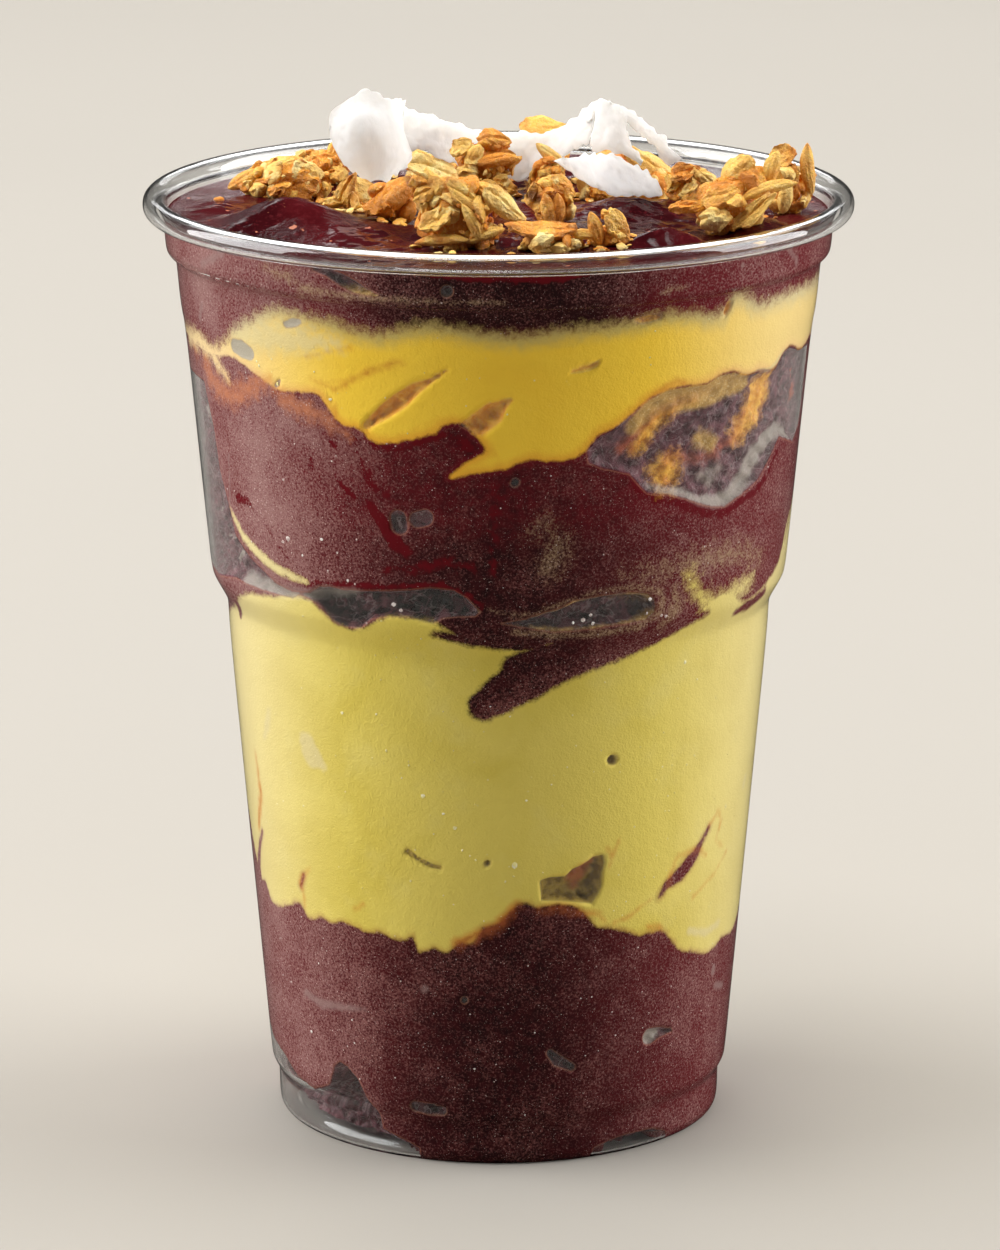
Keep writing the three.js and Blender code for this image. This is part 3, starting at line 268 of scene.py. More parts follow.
# Soft tints, each (marks, softness)
STAIN_MARKS = {
    "left smear": ([(-68, 106.4, 1.19), (-65.5, 104.6, 1.53), (-61.5, 103.6, 1.53), (-57.5, 103.5, 1.53),
        (-54, 104.5, 1.53), (-49.5, 106, 1.36), (-45.5, 107.1, 0.85)], 2.2),
    "fringe": ([(-45, 106.1, 0.68), (-42.5, 105, 1.19), (-39, 104.2, 1.19), (-36, 103.8, 1.19),
        (-32.5, 103.3, 0.85), (-31, 102.4, 0.85), (-28.5, 101.6, 0.68)], 1.8),
    "sweep": ([(-35.5, 108.4, 0.2), (-32.5, 107.7, 0.33), (-30, 107.3, 0.47), (-27, 108.7, 0.47),
        (-24, 109.9, 0.47), (-21, 111, 0.54), (-18, 111.7, 0.54), (-16.5, 111.6, 0.27)], 1.1),
    "wisp": ([(-36, 111.2, 0.2), (-31.5, 112.3, 0.13), (-28.5, 112.8, 0.2), (-26.5, 113.2, 0.4)], 1.1),
    "lower wisp": ([(-35.5, 108.3, 0.2), (-32.5, 108.1, 0.2), (-29, 108.6, 0.2)], 1.1),
    "gap arc": ([(25, 104.1, 0.27), (27.5, 105.9, 0.33), (29, 106.9, 0.4), (31.5, 107.8, 0.47),
        (33.5, 108.3, 0.54), (35, 107.8, 0.4)], 1.1),
    "left edge": ([(-68.5, 52.7, 0.3), (-68, 50.2, 0.5), (-67.5, 46.8, 0.8), (-69.5, 44.2, 0.8),
        (-71.5, 41.6, 0.5)], 1.1),
    "burnt": ([(-48, 39.3, 0.2), (-50.5, 37.9, 0.5), (-52, 36.5, 0.5), (-51, 35.2, 0.4),
        (-51, 33.5, 0.3)], 1.1),
    "burnt right": ([(-34.5, 35.1, 0.3), (-32.5, 35.9, 0.3)], 1.1),
    "pocket edge": ([(9.5, 36.6, 0.5), (14, 36.7, 0.6), (18, 36, 0.6), (20.5, 35.5, 0.4)], 1.1),
    "pocket inside": ([(17, 40.6, 0.9), (19, 41.7, 1), (21.5, 42.7, 0.8), (18, 39.6, 0.8)], 1.1),
    "by the pocket": ([(24.5, 44.4, 0.2), (26, 43.5, 0.4), (25.5, 42, 0.3), (27.5, 45.5, 0.2)], 1.1),
    "line stain": ([(-9.5, 31.9, 1), (-3.5, 33.6, 0.9), (0, 34.6, 0.9), (4, 37.5, 0.7)], 1.1),
    "streak tail": ([(55, 44.2, 0.3), (58.5, 45.9, 0.4), (60.5, 44.3, 0.3), (58.5, 41.9, 0.2),
        (62, 40.4, 0.2)], 1.1),
    "streak cloud": ([(42, 38, 0.6), (44, 41.2, 0.3), (51, 41.8, 0.4), (54.5, 40.3, 0.4)], 1.1),
    "low stain": ([(27.5, 33.8, 0.3), (31, 34.3, 0.35), (34.5, 35.5, 0.3), (37.5, 36.2, 0.2)], 1.1),
    "low stain two": ([(37, 32.2, 0.5), (40, 32.1, 0.5), (41, 31.5, 0.2)], 1.1),
    "low stain three": ([(21, 35.7, 0.5), (23.5, 35.1, 0.4), (25, 34.3, 0.3)], 1.1),
    "right stain": ([(51, 34.9, 0.3), (53, 35.4, 0.3), (59.5, 37, 0.15), (65, 39.5, 0.15)], 1.1),
    "back smear": ([(138, 104, 1.2), (146, 101.6, 1.4), (156, 102.4, 0.8)], 1.4),
    "back sweep": ([(196, 108, 0.3), (204, 110, 0.5), (213, 110.6, 0.3)], 1.1),
    "back low": ([(108, 34.5, 0.6), (116, 36.6, 0.8), (124, 35.6, 0.5)], 1.1),
    "back edge": ([(210, 33.5, 0.6), (217, 34.6, 0.7), (224, 34.6, 0.6)], 1.1),
    "gap film": ([(23, 99.6, 0.6), (27, 102.3, 0.7), (31, 104.6, 0.9), (37, 105.6, 1),
        (43, 106.2, 1)], 1.1),
    "magenta": ([(-74.5, 107.7, 0.5), (-73, 106.5, 0.5)], 2),
    "notch": ([(-30.5, 105.3, 0.3), (-30.5, 104.1, 0.4)], 1.1),
    "gap left": ([(25, 101.4, 0.4), (25.5, 99.3, 0.54)], 1.1),
    "gap strip": ([(72, 104.7, 0.4), (74, 102.7, 0.54), (74, 100.9, 0.4)], 1.1),
    "gap ember": ([(52.5, 101.9, 0.4), (50.5, 98.9, 0.5), (45, 97.5, 0.7), (41, 96.8, 0.4),
        (33.5, 98.1, 0.5)], 2.2),
}
HAZE_MARKS = {
    "under the ledge": ([(-34.5, 120.8, 0.5), (-28.5, 120.4, 0.5), (-20.5, 120.3, 0.5), (-9.5, 120.3, 0.4),
        (1, 120.3, 0.3)], 0.9),
    "golden": ([(-42, 122.6, 0.5), (-36, 121.6, 0.5)], 2.6),
    "ledge cloud": ([(28, 120.4, 0.4), (30, 121, 0.6), (33, 120.9, 0.3)], 0.9),
    "back cloud": ([(150, 88, 1.2), (158, 86, 1.8), (167, 87.4, 1)], 2.4),
    "back low": ([(188, 18, 1), (196, 20.4, 1.6), (205, 19, 1)], 2.4),
    "middle": ([(6.5, 89.5, 1.2), (9, 90.5, 1.6), (11.5, 87.7, 2.3), (9.5, 84.4, 1.9)], 3),
    "right": ([(25, 82.5, 0.8), (32, 82.4, 1.7), (41, 83.2, 1.8), (51.5, 83.1, 1.9), (62, 80.6, 1.3)], 4.2),
    "by the patch": ([(36, 80, 1), (37, 77.4, 1.2), (34, 75, 1)], 1.6),
    "pocket rim": ([(-3, 78.9, 0.3), (4, 77.9, 0.4), (12.5, 79.5, 0.5), (19.5, 80.8, 0.5), (27, 80.9, 0.6),
        (33, 79.6, 0.7), (33.5, 77, 0.7), (28, 75.2, 0.7), (20, 74.9, 0.7), (12, 74.9, 0.7),
        (3, 75.8, 0.5)], 0.8),
    "gap film": ([(25.5, 102.6, 0.8), (27.5, 103.9, 1.2), (29.5, 104.9, 1.5), (32, 105.5, 1.5),
        (35, 105.6, 1.5), (38.5, 105.6, 1.6), (41.5, 105.7, 1.6), (44, 106.1, 1.6), (47, 106.3, 1.3),
        (50.5, 106, 0.9)], 1.2),
    "gap mauve": ([(40.5, 99.6, 0.4), (43.5, 98.8, 0.5)], 2.2),
    "upper left": ([(-35, 120.4, 0.54), (-29, 120.4, 0.54), (-23.5, 120.4, 0.4)], 1.6),
}
FROST_MARKS = {
    "tongue": ([(-4, 61.2, 1.3), (-0.5, 63, 1.7), (4.5, 64.9, 1.5), (10, 67.3, 1.2), (17, 68.9, 1.1),
        (25.5, 69.5, 0.9), (35, 70.5, 0.7)], 2),
    "left crinkle": ([(-42.5, 102.1, 0.8), (-38.5, 100.9, 0.8), (-35.5, 100.1, 0.5)], 2),
    "left middle": ([(-49.5, 98.6, 1.9), (-52, 92.8, 1.9), (-48.5, 87.8, 1.6)], 4),
    "collar left": ([(-59, 123.3, 1.1), (-65.5, 116.7, 1.1)], 4),
    "back": ([(150, 92, 3), (170, 90, 4), (190, 93, 3)], 4),
}
WET_MARKS = {
    "loop": ([(-31.5, 95.4, 0.19), (-30, 94.3, 0.35), (-28.5, 93.5, 0.4), (-27.5, 93, 0.35)], 0.3),
    "patch": ([(-25, 92.7, 0.4), (-23.5, 91.4, 0.8), (-21.5, 89.4, 1.07), (-19.5, 87.4, 1.2),
        (-17.5, 86.2, 0.8)], 0.7),
    "low": ([(-22, 83.4, 0.3), (-16, 84.2, 0.7), (-10, 85, 0.8), (-5, 84.6, 0.5)], 1.6),
    "column": ([(-1, 84, 0.3), (-1, 90, 0.5), (0, 95, 0.4)], 1.6),
    "waist edge": ([(-40, 79.6, 0.4), (-37, 80.6, 0.4), (-31.5, 80.8, 0.5), (-25.5, 81, 0.5),
        (-17.5, 81.6, 0.4), (-10.5, 82, 0.4), (-6, 80.8, 0.4), (-3, 79, 0.4)], 0.6),
    "rim band": ([(-12.5, 123.9, 0.4), (-2.5, 123.6, 0.7), (3.5, 123.5, 0.7), (10.5, 123.5, 0.7),
        (16.5, 124, 0.3)], 0.6),
    "left vein": ([(-59, 89.5, 0.8), (-55.5, 89.5, 0.67), (-54, 88.6, 0.27), (-51.5, 87.4, 0.21),
        (-49, 86.2, 0.21), (-47, 84.6, 0.19), (-44.5, 83, 0.16)], 0.5),
    "gap edge": ([(25.5, 95.5, 0.54), (27, 93.8, 0.54), (30, 92.5, 0.54), (36, 91.4, 0.54),
        (41, 89.8, 0.67), (47, 88.8, 0.67), (52, 89.8, 0.54), (58, 90.7, 0.54), (61.5, 92.3, 0.4),
        (65, 94.9, 0.4)], 0.8),
    "yellow edge": ([(-31, 103, 0.3), (-25.5, 100.5, 0.4), (-18, 100, 0.3), (-9, 102.6, 0.6),
        (-5, 100.6, 0.9)], 0.9),
    "slanting": ([(-27, 100, 0.3), (-24, 95, 0.5), (-19, 93, 0.3)], 1.2),
    "red spot": ([(-37, 97.5, 0.4), (-36.5, 96.3, 0.5)], 0.6),
    "dark streak": ([(-61, 97.9, 0.21), (-60.5, 96.6, 0.24)], 0.4),
    "red cluster": ([(-32, 100, 0.4), (-31, 99.7, 0.4)], 0.6),
}
BUBBLE_SOFTNESS = 0.4
PALE_MARKS = {
    "collar blob": ([(-60.5, 121, 0.6), (-53.5, 123.3, 0.7)], 1),
    "left streak": ([(-65.5, 115, 0.4), (-67.5, 112.7, 0.6)], 1),
    "right streak": ([(56.5, 124.1, 0.4), (61, 121.5, 0.5), (61, 120.4, 0.3)], 1),
    "collar bead": ([(45, 122.7, 0.4)], 0.3),
    "gap film": ([(29, 94.3, 0.4), (32.5, 93.6, 0.54), (36.5, 92.9, 0.67), (40.5, 91.4, 0.67),
        (45, 90.6, 0.94), (49, 90.9, 1.07), (52, 91.9, 1.2), (54.5, 93.3, 1.47), (56.5, 95.1, 1.61),
        (59.5, 96.5, 1.47), (62.5, 97.5, 1.2), (65.5, 98, 0.94), (71.5, 96.3, 0.8)], 1.1),
    "left veil": ([(-59, 78.4, 1.07), (-52, 78.3, 1.07), (-46, 78.3, 1.07), (-39, 78.8, 0.94),
        (-33, 79.4, 0.8), (-28.5, 80.1, 0.54)], 1.2),
    "left spots": ([(-59, 59.9, 0.6), (-60.5, 57.4, 0.9), (-62.5, 55.6, 0.4)], 1),
    "green patch": ([(-46, 57.3, 1.5), (-44.5, 55.5, 1.9), (-41.5, 54.5, 0.9)], 1),
    "right grey": ([(50.5, 30.1, 0.6), (57.5, 28.8, 0.8), (64, 29.2, 0.6)], 1),
    "bottom slit": ([(-53.5, 20.8, 0.6), (-47, 20.1, 0.8), (-40.5, 20.5, 0.6), (-33.5, 20.8, 0.3)], 1),
    "bottom bead": ([(-17.5, 25, 0.6)], 1),
    "right beads": ([(63.5, 22.9, 0.6), (63.5, 22.3, 0.6)], 0.3),
    "right bar": ([(65.5, 20, 0.6), (70.5, 19.3, 0.6)], 1),
    "right side": ([(72.5, 47.4, 0.7), (73.5, 48.4, 0.6)], 0.4),
    "right side low": ([(62, 46, 0.4)], 0.3),
    "wall drop": ([(39.5, 16.4, 1.2), (42.5, 16.6, 0.6)], 0.5),
    "back bubble": ([(140, 112, 1.1), (145, 111.2, 0.9)], 0.6),
    "back patch": ([(186, 55, 1.4), (191, 53.4, 1.7)], 0.6),
    "back slit": ([(222, 22, 0.4), (230, 23.4, 0.7), (238, 22.8, 0.3)], 0.5),
    "pale cream": ([(-53, 112.4, 1.5), (-45, 112.8, 2.4), (-37, 113.4, 2.2), (-29, 113.6, 1)], 3.4),
    "left seam": ([(-61.5, 95, 0.27), (-61.5, 93.7, 0.27), (-63, 87.4, 0.21), (-60.5, 85.8, 0.35),
        (-58.5, 84.3, 0.48), (-55.5, 83.2, 0.59), (-52.5, 82.3, 0.59), (-49, 81.4, 0.54),
        (-44.5, 80.8, 0.47), (-40, 80.3, 0.33)], 0.5),
    "left bead": ([(-44, 106.5, 0.35), (-43, 107.2, 0.32)], 0.3),
    "first bead": ([(-31.5, 105.9, 0.27)], 0.3),
    "small bead": ([(-56, 106.8, 0.27)], 0.3),
    "gap grey": ([(44.5, 93.5, 0.8), (41.5, 94.6, 0.67), (46.5, 94.9, 0.8)], 2.4),
    "gap rim": ([(53.5, 107.4, 0.21), (58.5, 107, 0.35), (61, 107.8, 0.35), (63.5, 109.1, 0.21)], 0.4),
    "left gap glow": ([(-75, 100.7, 0.54), (-74.5, 99.2, 0.67), (-71.5, 98.1, 0.54)], 1.4),
    "gap streak": ([(-73, 86.1, 0.2), (-73, 84.7, 0.27)], 0.4),
    "gap grains": ([(-68.5, 82.9, 0.27), (-64, 83, 0.21)], 0.4),
    "seam spots": ([(-65.5, 85, 0.4), (-64.5, 84.3, 0.4), (-62, 81.7, 0.5), (-64.5, 80.1, 0.4)], 0.8),
}
for bubble in ("left bubble", "upper bubble"):
    PALE_MARKS[bubble] = (HOLLOW_MARKS[bubble][0], BUBBLE_SOFTNESS)


# ---------------------------------------------------------------- wall fields
def smoothstep(low, high, value):
    share = np.clip((value - low) / (high - low), 0, 1)
    return share * share * (3 - 2 * share)


def around(pairs, angles):
    """A smooth closed line through (angle, height) pairs."""
    known = np.array(pairs, float)
    turns = np.concatenate([known[-2:, 0] - 360, known[:, 0], known[:2, 0] + 360])
    heights = np.concatenate([known[-2:, 1], known[:, 1], known[:2, 1]])
    slopes = np.gradient(heights, turns)
    turn = (angles - known[0, 0]) % 360 + known[0, 0]
    k = np.clip(np.searchsorted(turns, turn, side="right") - 1, 0, len(turns) - 2)
    width = turns[k + 1] - turns[k]
    t = (turn - turns[k]) / width
    return (
        (1 + 2 * t) * (1 - t) ** 2 * heights[k]
        + t * (1 - t) ** 2 * width * slopes[k]
        + t * t * (3 - 2 * t) * heights[k + 1]
        + t * t * (t - 1) * width * slopes[k + 1]
    )


MARGIN = 6.0


def near_marks(marks, angle, height):
    """Which points lie near the marks, with their place along the wall and that of the marks."""
    middle = sum(mark[0] for mark in marks) / len(marks)
    turn = (angle - middle + 180) % 360 - 180
    along = np.radians(turn) * inner_radius(height)
    places = [(math.radians(a - middle) * float(inner_radius(h)), h) for a, h, *_ in marks]
    xs, ys = zip(*places)
    near = (along > min(xs) - MARGIN) & (along < max(xs) + MARGIN)
    near &= (height > min(ys) - MARGIN) & (height < max(ys) + MARGIN)
    return near, along[near], height[near], places


def to_segment(x, y, start, end):
    """Distance from points to a segment, and how far along it they are."""
    dx, dy = end[0] - start[0], end[1] - start[1]
    share = np.clip(((x - start[0]) * dx + (y - start[1]) * dy) / max(dx * dx + dy * dy, 1e-9), 0, 1)
    return np.hypot(x - start[0] - share * dx, y - start[1] - share * dy), share


def inside_chain(marks, angle, height):
    """Millimetres inside a chain of discs, negative outside it."""
    found = np.full(angle.shape, -MARGIN)
    near, x, y, places = near_marks(marks, angle, height)
    if not near.any():
        return found
    radii = [mark[2] for mark in marks]
    best = np.full(x.shape, -MARGIN)
    ends = range(1, len(places)) if len(places) > 1 else [0]
    for i in ends:
        start = max(i - 1, 0)
        distance, share = to_segment(x, y, places[start], places[i])
        best = np.maximum(best, radii[start] + (radii[i] - radii[start]) * share - distance)
    found[near] = best
    return found


def inside_outline(outline, angle, height):
    """Millimetres inside a closed outline, negative outside it."""
    found = np.full(angle.shape, -MARGIN)
    near, x, y, places = near_marks(outline, angle, height)
    if not near.any():
        return found
    distance = np.full(x.shape, MARGIN)
    within = np.zeros(x.shape, bool)
    for (x1, y1), (x2, y2) in zip(places, places[1:] + places[:1]):
        distance = np.minimum(distance, to_segment(x, y, (x1, y1), (x2, y2))[0])
        crosses = (y1 > y) != (y2 > y)
        if y1 != y2:
            within ^= crosses & (x < x1 + (y - y1) * (x2 - x1) / (y2 - y1))
    found[near] = np.where(within, distance, -distance)
    return found


EDGE = {"green bottom": 0.4, "green top": 0.6, "yellow bottom": 0.35, "yellow top": 1.5}
CREAM_LIMIT = 12.0
HOLLOW_LIMIT = 3.0
HOLLOW_START = -0.1
TINTS = {
    "stain": STAIN_MARKS,
    "haze": HAZE_MARKS,
    "frost": FROST_MARKS,
    "wet": WET_MARKS,
    "pale": PALE_MARKS,
}


def over_line(line, angle, height):
    """Millimetres above a line, measured square to it."""
    step = 0.5
    rise = around(line, angle + step) - around(line, angle - step)
    slope = rise / (np.radians(2 * step) * MIDDLE_RADIUS)
    return (height - around(line, angle)) / np.sqrt(1 + slope**2)


def cream_field(angle, height):
    """Over 0 in the creams, under 0 in the acai, in widths of the edge between them."""
    green = np.minimum(
        over_line(GREEN_BOTTOM, angle, height) / EDGE["green bottom"],
        -over_line(GREEN_TOP, angle, height) / EDGE["green top"],
    )
    yellow = np.minimum(
        over_line(YELLOW_BOTTOM, angle, height) / EDGE["yellow bottom"],
        -over_line(YELLOW_TOP, angle, height) / EDGE["yellow top"],
    )
    field = np.maximum(green, yellow)
    for marks, softness in CREAM_MARKS.values():
        field = np.maximum(field, inside_chain(marks, angle, height) / softness)
    for marks, softness in ACAI_MARKS.values():
        field = np.minimum(field, -inside_chain(marks, angle, height) / softness)
    return np.clip(field, -CREAM_LIMIT, CREAM_LIMIT)


def hollows(angle, height):
    """How deep the air against the wall is, millimetres inside its outline, and how milky it is."""
    depth = np.zeros(angle.shape)
    inside = np.full(angle.shape, -HOLLOW_LIMIT)
    milky = np.zeros(angle.shape)
    for shapes, measure in ((HOLLOW_MARKS, inside_chain), (HOLLOW_OUTLINES, inside_outline)):
        for marks, deep, shoulder, veil in shapes.values():
            within = measure(marks, angle, height)
            depth = np.maximum(depth, deep * smoothstep(HOLLOW_START, shoulder, within))
            milky = np.where(within > inside, veil, milky)
            inside = np.maximum(inside, within)
    return depth, np.clip(inside, -HOLLOW_LIMIT, HOLLOW_LIMIT), milky


def tint_field(group, angle, height):
    """From 0 to 1, and one half on the outline of a mark."""
    field = np.zeros(angle.shape)
    for marks, softness in group.values():
        within = inside_chain(marks, angle, height)
        field = np.maximum(field, np.clip(0.5 + within / (2 * softness), 0, 1))
    return field


def wall_fields(angle, height):
    """The float attributes that the food's material reads."""
    _, inside, milky = hollows(angle, height)
    fields = {"cream": cream_field(angle, height), "hollow": inside, "milky": milky}
    return fields | {name: tint_field(marks, angle, height) for name, marks in TINTS.items()}


# --------------------------------------------------------------- mesh helpers
def put_in(obj, material, slot, *nodes):
    """Gives a piece its material and its place in the frame."""
    if material is not None:
        obj.data.materials.append(material)
    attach(obj, "root")
    if nodes:
        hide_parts(*nodes)
    return obj


def mesh_object(name, points, faces, smooth=True):
    """A mesh object from points in millimetres."""
    mesh = bpy.data.meshes.new(name)
    mesh.from_pydata((np.asarray(points) * MM).tolist(), [], faces)
    mesh.polygons.foreach_set("use_smooth", [smooth] * len(mesh.polygons))
    obj = bpy.data.objects.new(name, mesh)
    bpy.context.collection.objects.link(obj)
    return obj


def set_attribute(mesh, name, values):
    mesh.attributes.new(name, "FLOAT", "POINT").data.foreach_set("value", np.asarray(values, np.float32))


def closed_stack(rings, low_end, high_end):
    """Points and faces of rings from the lowest up, closed by a fan at either end."""
    count = len(rings[0])
    points = np.vstack([*rings, low_end, high_end])
    low = len(points) - 2
    last = (len(rings) - 1) * count
    pairs = [(i, (i + 1) % count) for i in range(count)]
    faces = []
    for k in range(0, last, count):
        faces += [(k + i, k + j, k + count + j, k + count + i) for i, j in pairs]
    faces += [(low, j, i) for i, j in pairs]
    faces += [(low + 1, last + i, last + j) for i, j in pairs]
    return points, faces


def on_circle(radius, turn, height):
    """Points at a radius and height, turned round the cup's axis from the front."""
    return np.stack(np.broadcast_arrays(radius * np.sin(turn), -radius * np.cos(turn), height), -1)


# ------------------------------------------------------------------ food layers
# Columns of points, twice as close in the front half as behind
FRONT_REACH = 96
FRONT_COLUMNS = np.arange(-FRONT_REACH, FRONT_REACH, 0.5)
BACK_COLUMNS = np.arange(FRONT_REACH, 360 - FRONT_REACH, 1.0)
ANGLES = np.concatenate([FRONT_COLUMNS, BACK_COLUMNS])
COLUMNS = len(ANGLES)
ROW_STEP = 0.42
# Folds inside the air pockets: pocket depths at which they start and are full, their size and scale
FOLD_START = 0.3
FOLD_FULL = 1.5
FOLD_RISE = 0.6
FOLD_SCALE = 0.55


def on_wall(angle, height):
    """Points of the food's side, in millimetres."""
    depth = hollows(angle, height)[0]
    radius = inner_radius(height) + REACH - depth
    points = on_circle(radius, np.radians(angle), height)
    for place in zip(*np.nonzero(depth > FOLD_START)):
        x, y, z = points[place]
        bump = noise.fractal(Vector((x, y, z * 1.5)) * FOLD_SCALE, 0.8, 2.1, 2)
        push = 1 + FOLD_RISE * bump * min(depth[place], FOLD_FULL) / radius[place]
        points[place][:2] *= push
    return points


def grid_normals(points):
    """Outward normals of a closed grid, without its first and last row."""
    along = np.roll(points, -1, 1) - np.roll(points, 1, 1)
    up = points[2:] - points[:-2]
    normals = np.cross(along[1:-1], up)
    return normals / np.linalg.norm(normals, axis=-1, keepdims=True)


def cap_height(edge, share):
    """A layer's hidden surface flattens from the wall towards the middle."""
    return edge.mean() + (edge - edge.mean()) * share**3


def cap_rings(edge_points, shares):
    """Rings of points inside a layer's edge, down to the middle."""
    rings = []
    for share in shares:
        ring = edge_points * [share, share, 1]
        ring[:, 2] = cap_height(edge_points[:, 2], share)
        rings.append(ring)
    return rings


def swell(x, y, mound):
    """Height that a mound or hollow adds at a place."""
    middle_x, middle_y, half_width, half_depth, rise = mound
    return rise * np.exp(-(((x - middle_x) / half_width) ** 2) - ((y - middle_y) / half_depth) ** 2)


def acai_top(x, y):
    """Height of the acai's top, as the CAD has it."""
    mounds = sum(swell(x, y, mound) for mound in MOUNDS)
    ripple = RIPPLE * np.sin(0.31 * x + 1.1) * np.cos(0.27 * y - 0.4)
    edge = 1 - smoothstep(0.86, 1, np.hypot(x, y) / COLLAR_RADIUS)
    return FILL_LEVEL + edge * (mounds + ripple) + COLLAR_WAVE * np.sin(3 * np.arctan2(x, -y))


def smooth_side(mesh, normals, first_point, side_faces, smooth_top):
    """Gives the side the wall's normals, which neighbouring layers share, and leaves the caps flat."""
    smooth = np.zeros(len(mesh.polygons), bool)
    smooth[side_faces] = True
    smooth[side_faces.stop :] = smooth_top
    mesh.polygons.foreach_set("use_smooth", smooth)
    corners = np.empty(len(mesh.loops), np.int32)
    mesh.loops.foreach_get("vertex_index", corners)
    loops = slice(4 * side_faces.start, 4 * side_faces.stop)
    loop_normals = np.zeros((len(mesh.loops), 3), np.float32)
    loop_normals[loops] = normals.reshape(-1, 3)[corners[loops] - first_point]
    mesh.normals_split_custom_set(loop_normals.tolist())


def give_fields(mesh, fields, first_point, elsewhere):
    """Writes the wall fields on the side's points, and each field's plain value elsewhere."""
    for field, values in fields.items():
        whole = np.full(len(mesh.vertices), elsewhere.get(field, 0.0))
        whole[first_point : first_point + len(values)] = values
        set_attribute(mesh, field, whole)


def layer(name, lower, upper, slot, bottom_rings, top_rings):
    """One layer from a lower to an upper edge, closed by rings of points below and above."""
    rows = max(4, round(float((upper - lower).mean()) / ROW_STEP))
    shares = np.arange(-1, rows + 2)[:, None] / rows
    heights = lower + (upper - lower) * shares
    angles = np.broadcast_to(ANGLES, heights.shape)
    grid = on_wall(angles, heights)
    side = grid[1:-1]
    below = bottom_rings(side[0])
    rings = [*reversed(below), *side, *top_rings(side[-1])]
    obj = mesh_object(name, *closed_stack(rings, rings[0].mean(0), rings[-1].mean(0)))
    mesh = obj.data
    mesh.materials.append(FOOD)
    first = len(below) * COLUMNS
    side_faces = slice(first, first + (len(side) - 1) * COLUMNS)
    if name == "acai_top":
        mesh.materials.append(WET_ACAI)
        on_top = np.arange(len(mesh.polygons)) >= side_faces.stop
        mesh.polygons.foreach_set("material_index", on_top.astype(np.int32))
    fields = wall_fields(angles[1:-1].ravel(), heights[1:-1].ravel())
    plain_cream = CREAM_LIMIT if "cream" in name else -CREAM_LIMIT
    give_fields(mesh, fields, first, {"cream": plain_cream, "hollow": -HOLLOW_LIMIT})
    smooth_side(mesh, grid_normals(grid), first, side_faces, name == "acai_top")
    return put_in(obj, None, slot, name)


HIDDEN_SHARES = (0.7, 0.3)


def plain_cap(edge):
    return cap_rings(edge, HIDDEN_SHARES)


# -------------------------------------------------------------- shader helpers
def srgb(red, green, blue):
    """A linear colour from an sRGB one of 0 to 255."""
    shares = [value / 255 for value in (red, green, blue)]
    return (*(s / 12.92 if s <= 0.04045 else ((s + 0.055) / 1.055) ** 2.4 for s in shares), 1)


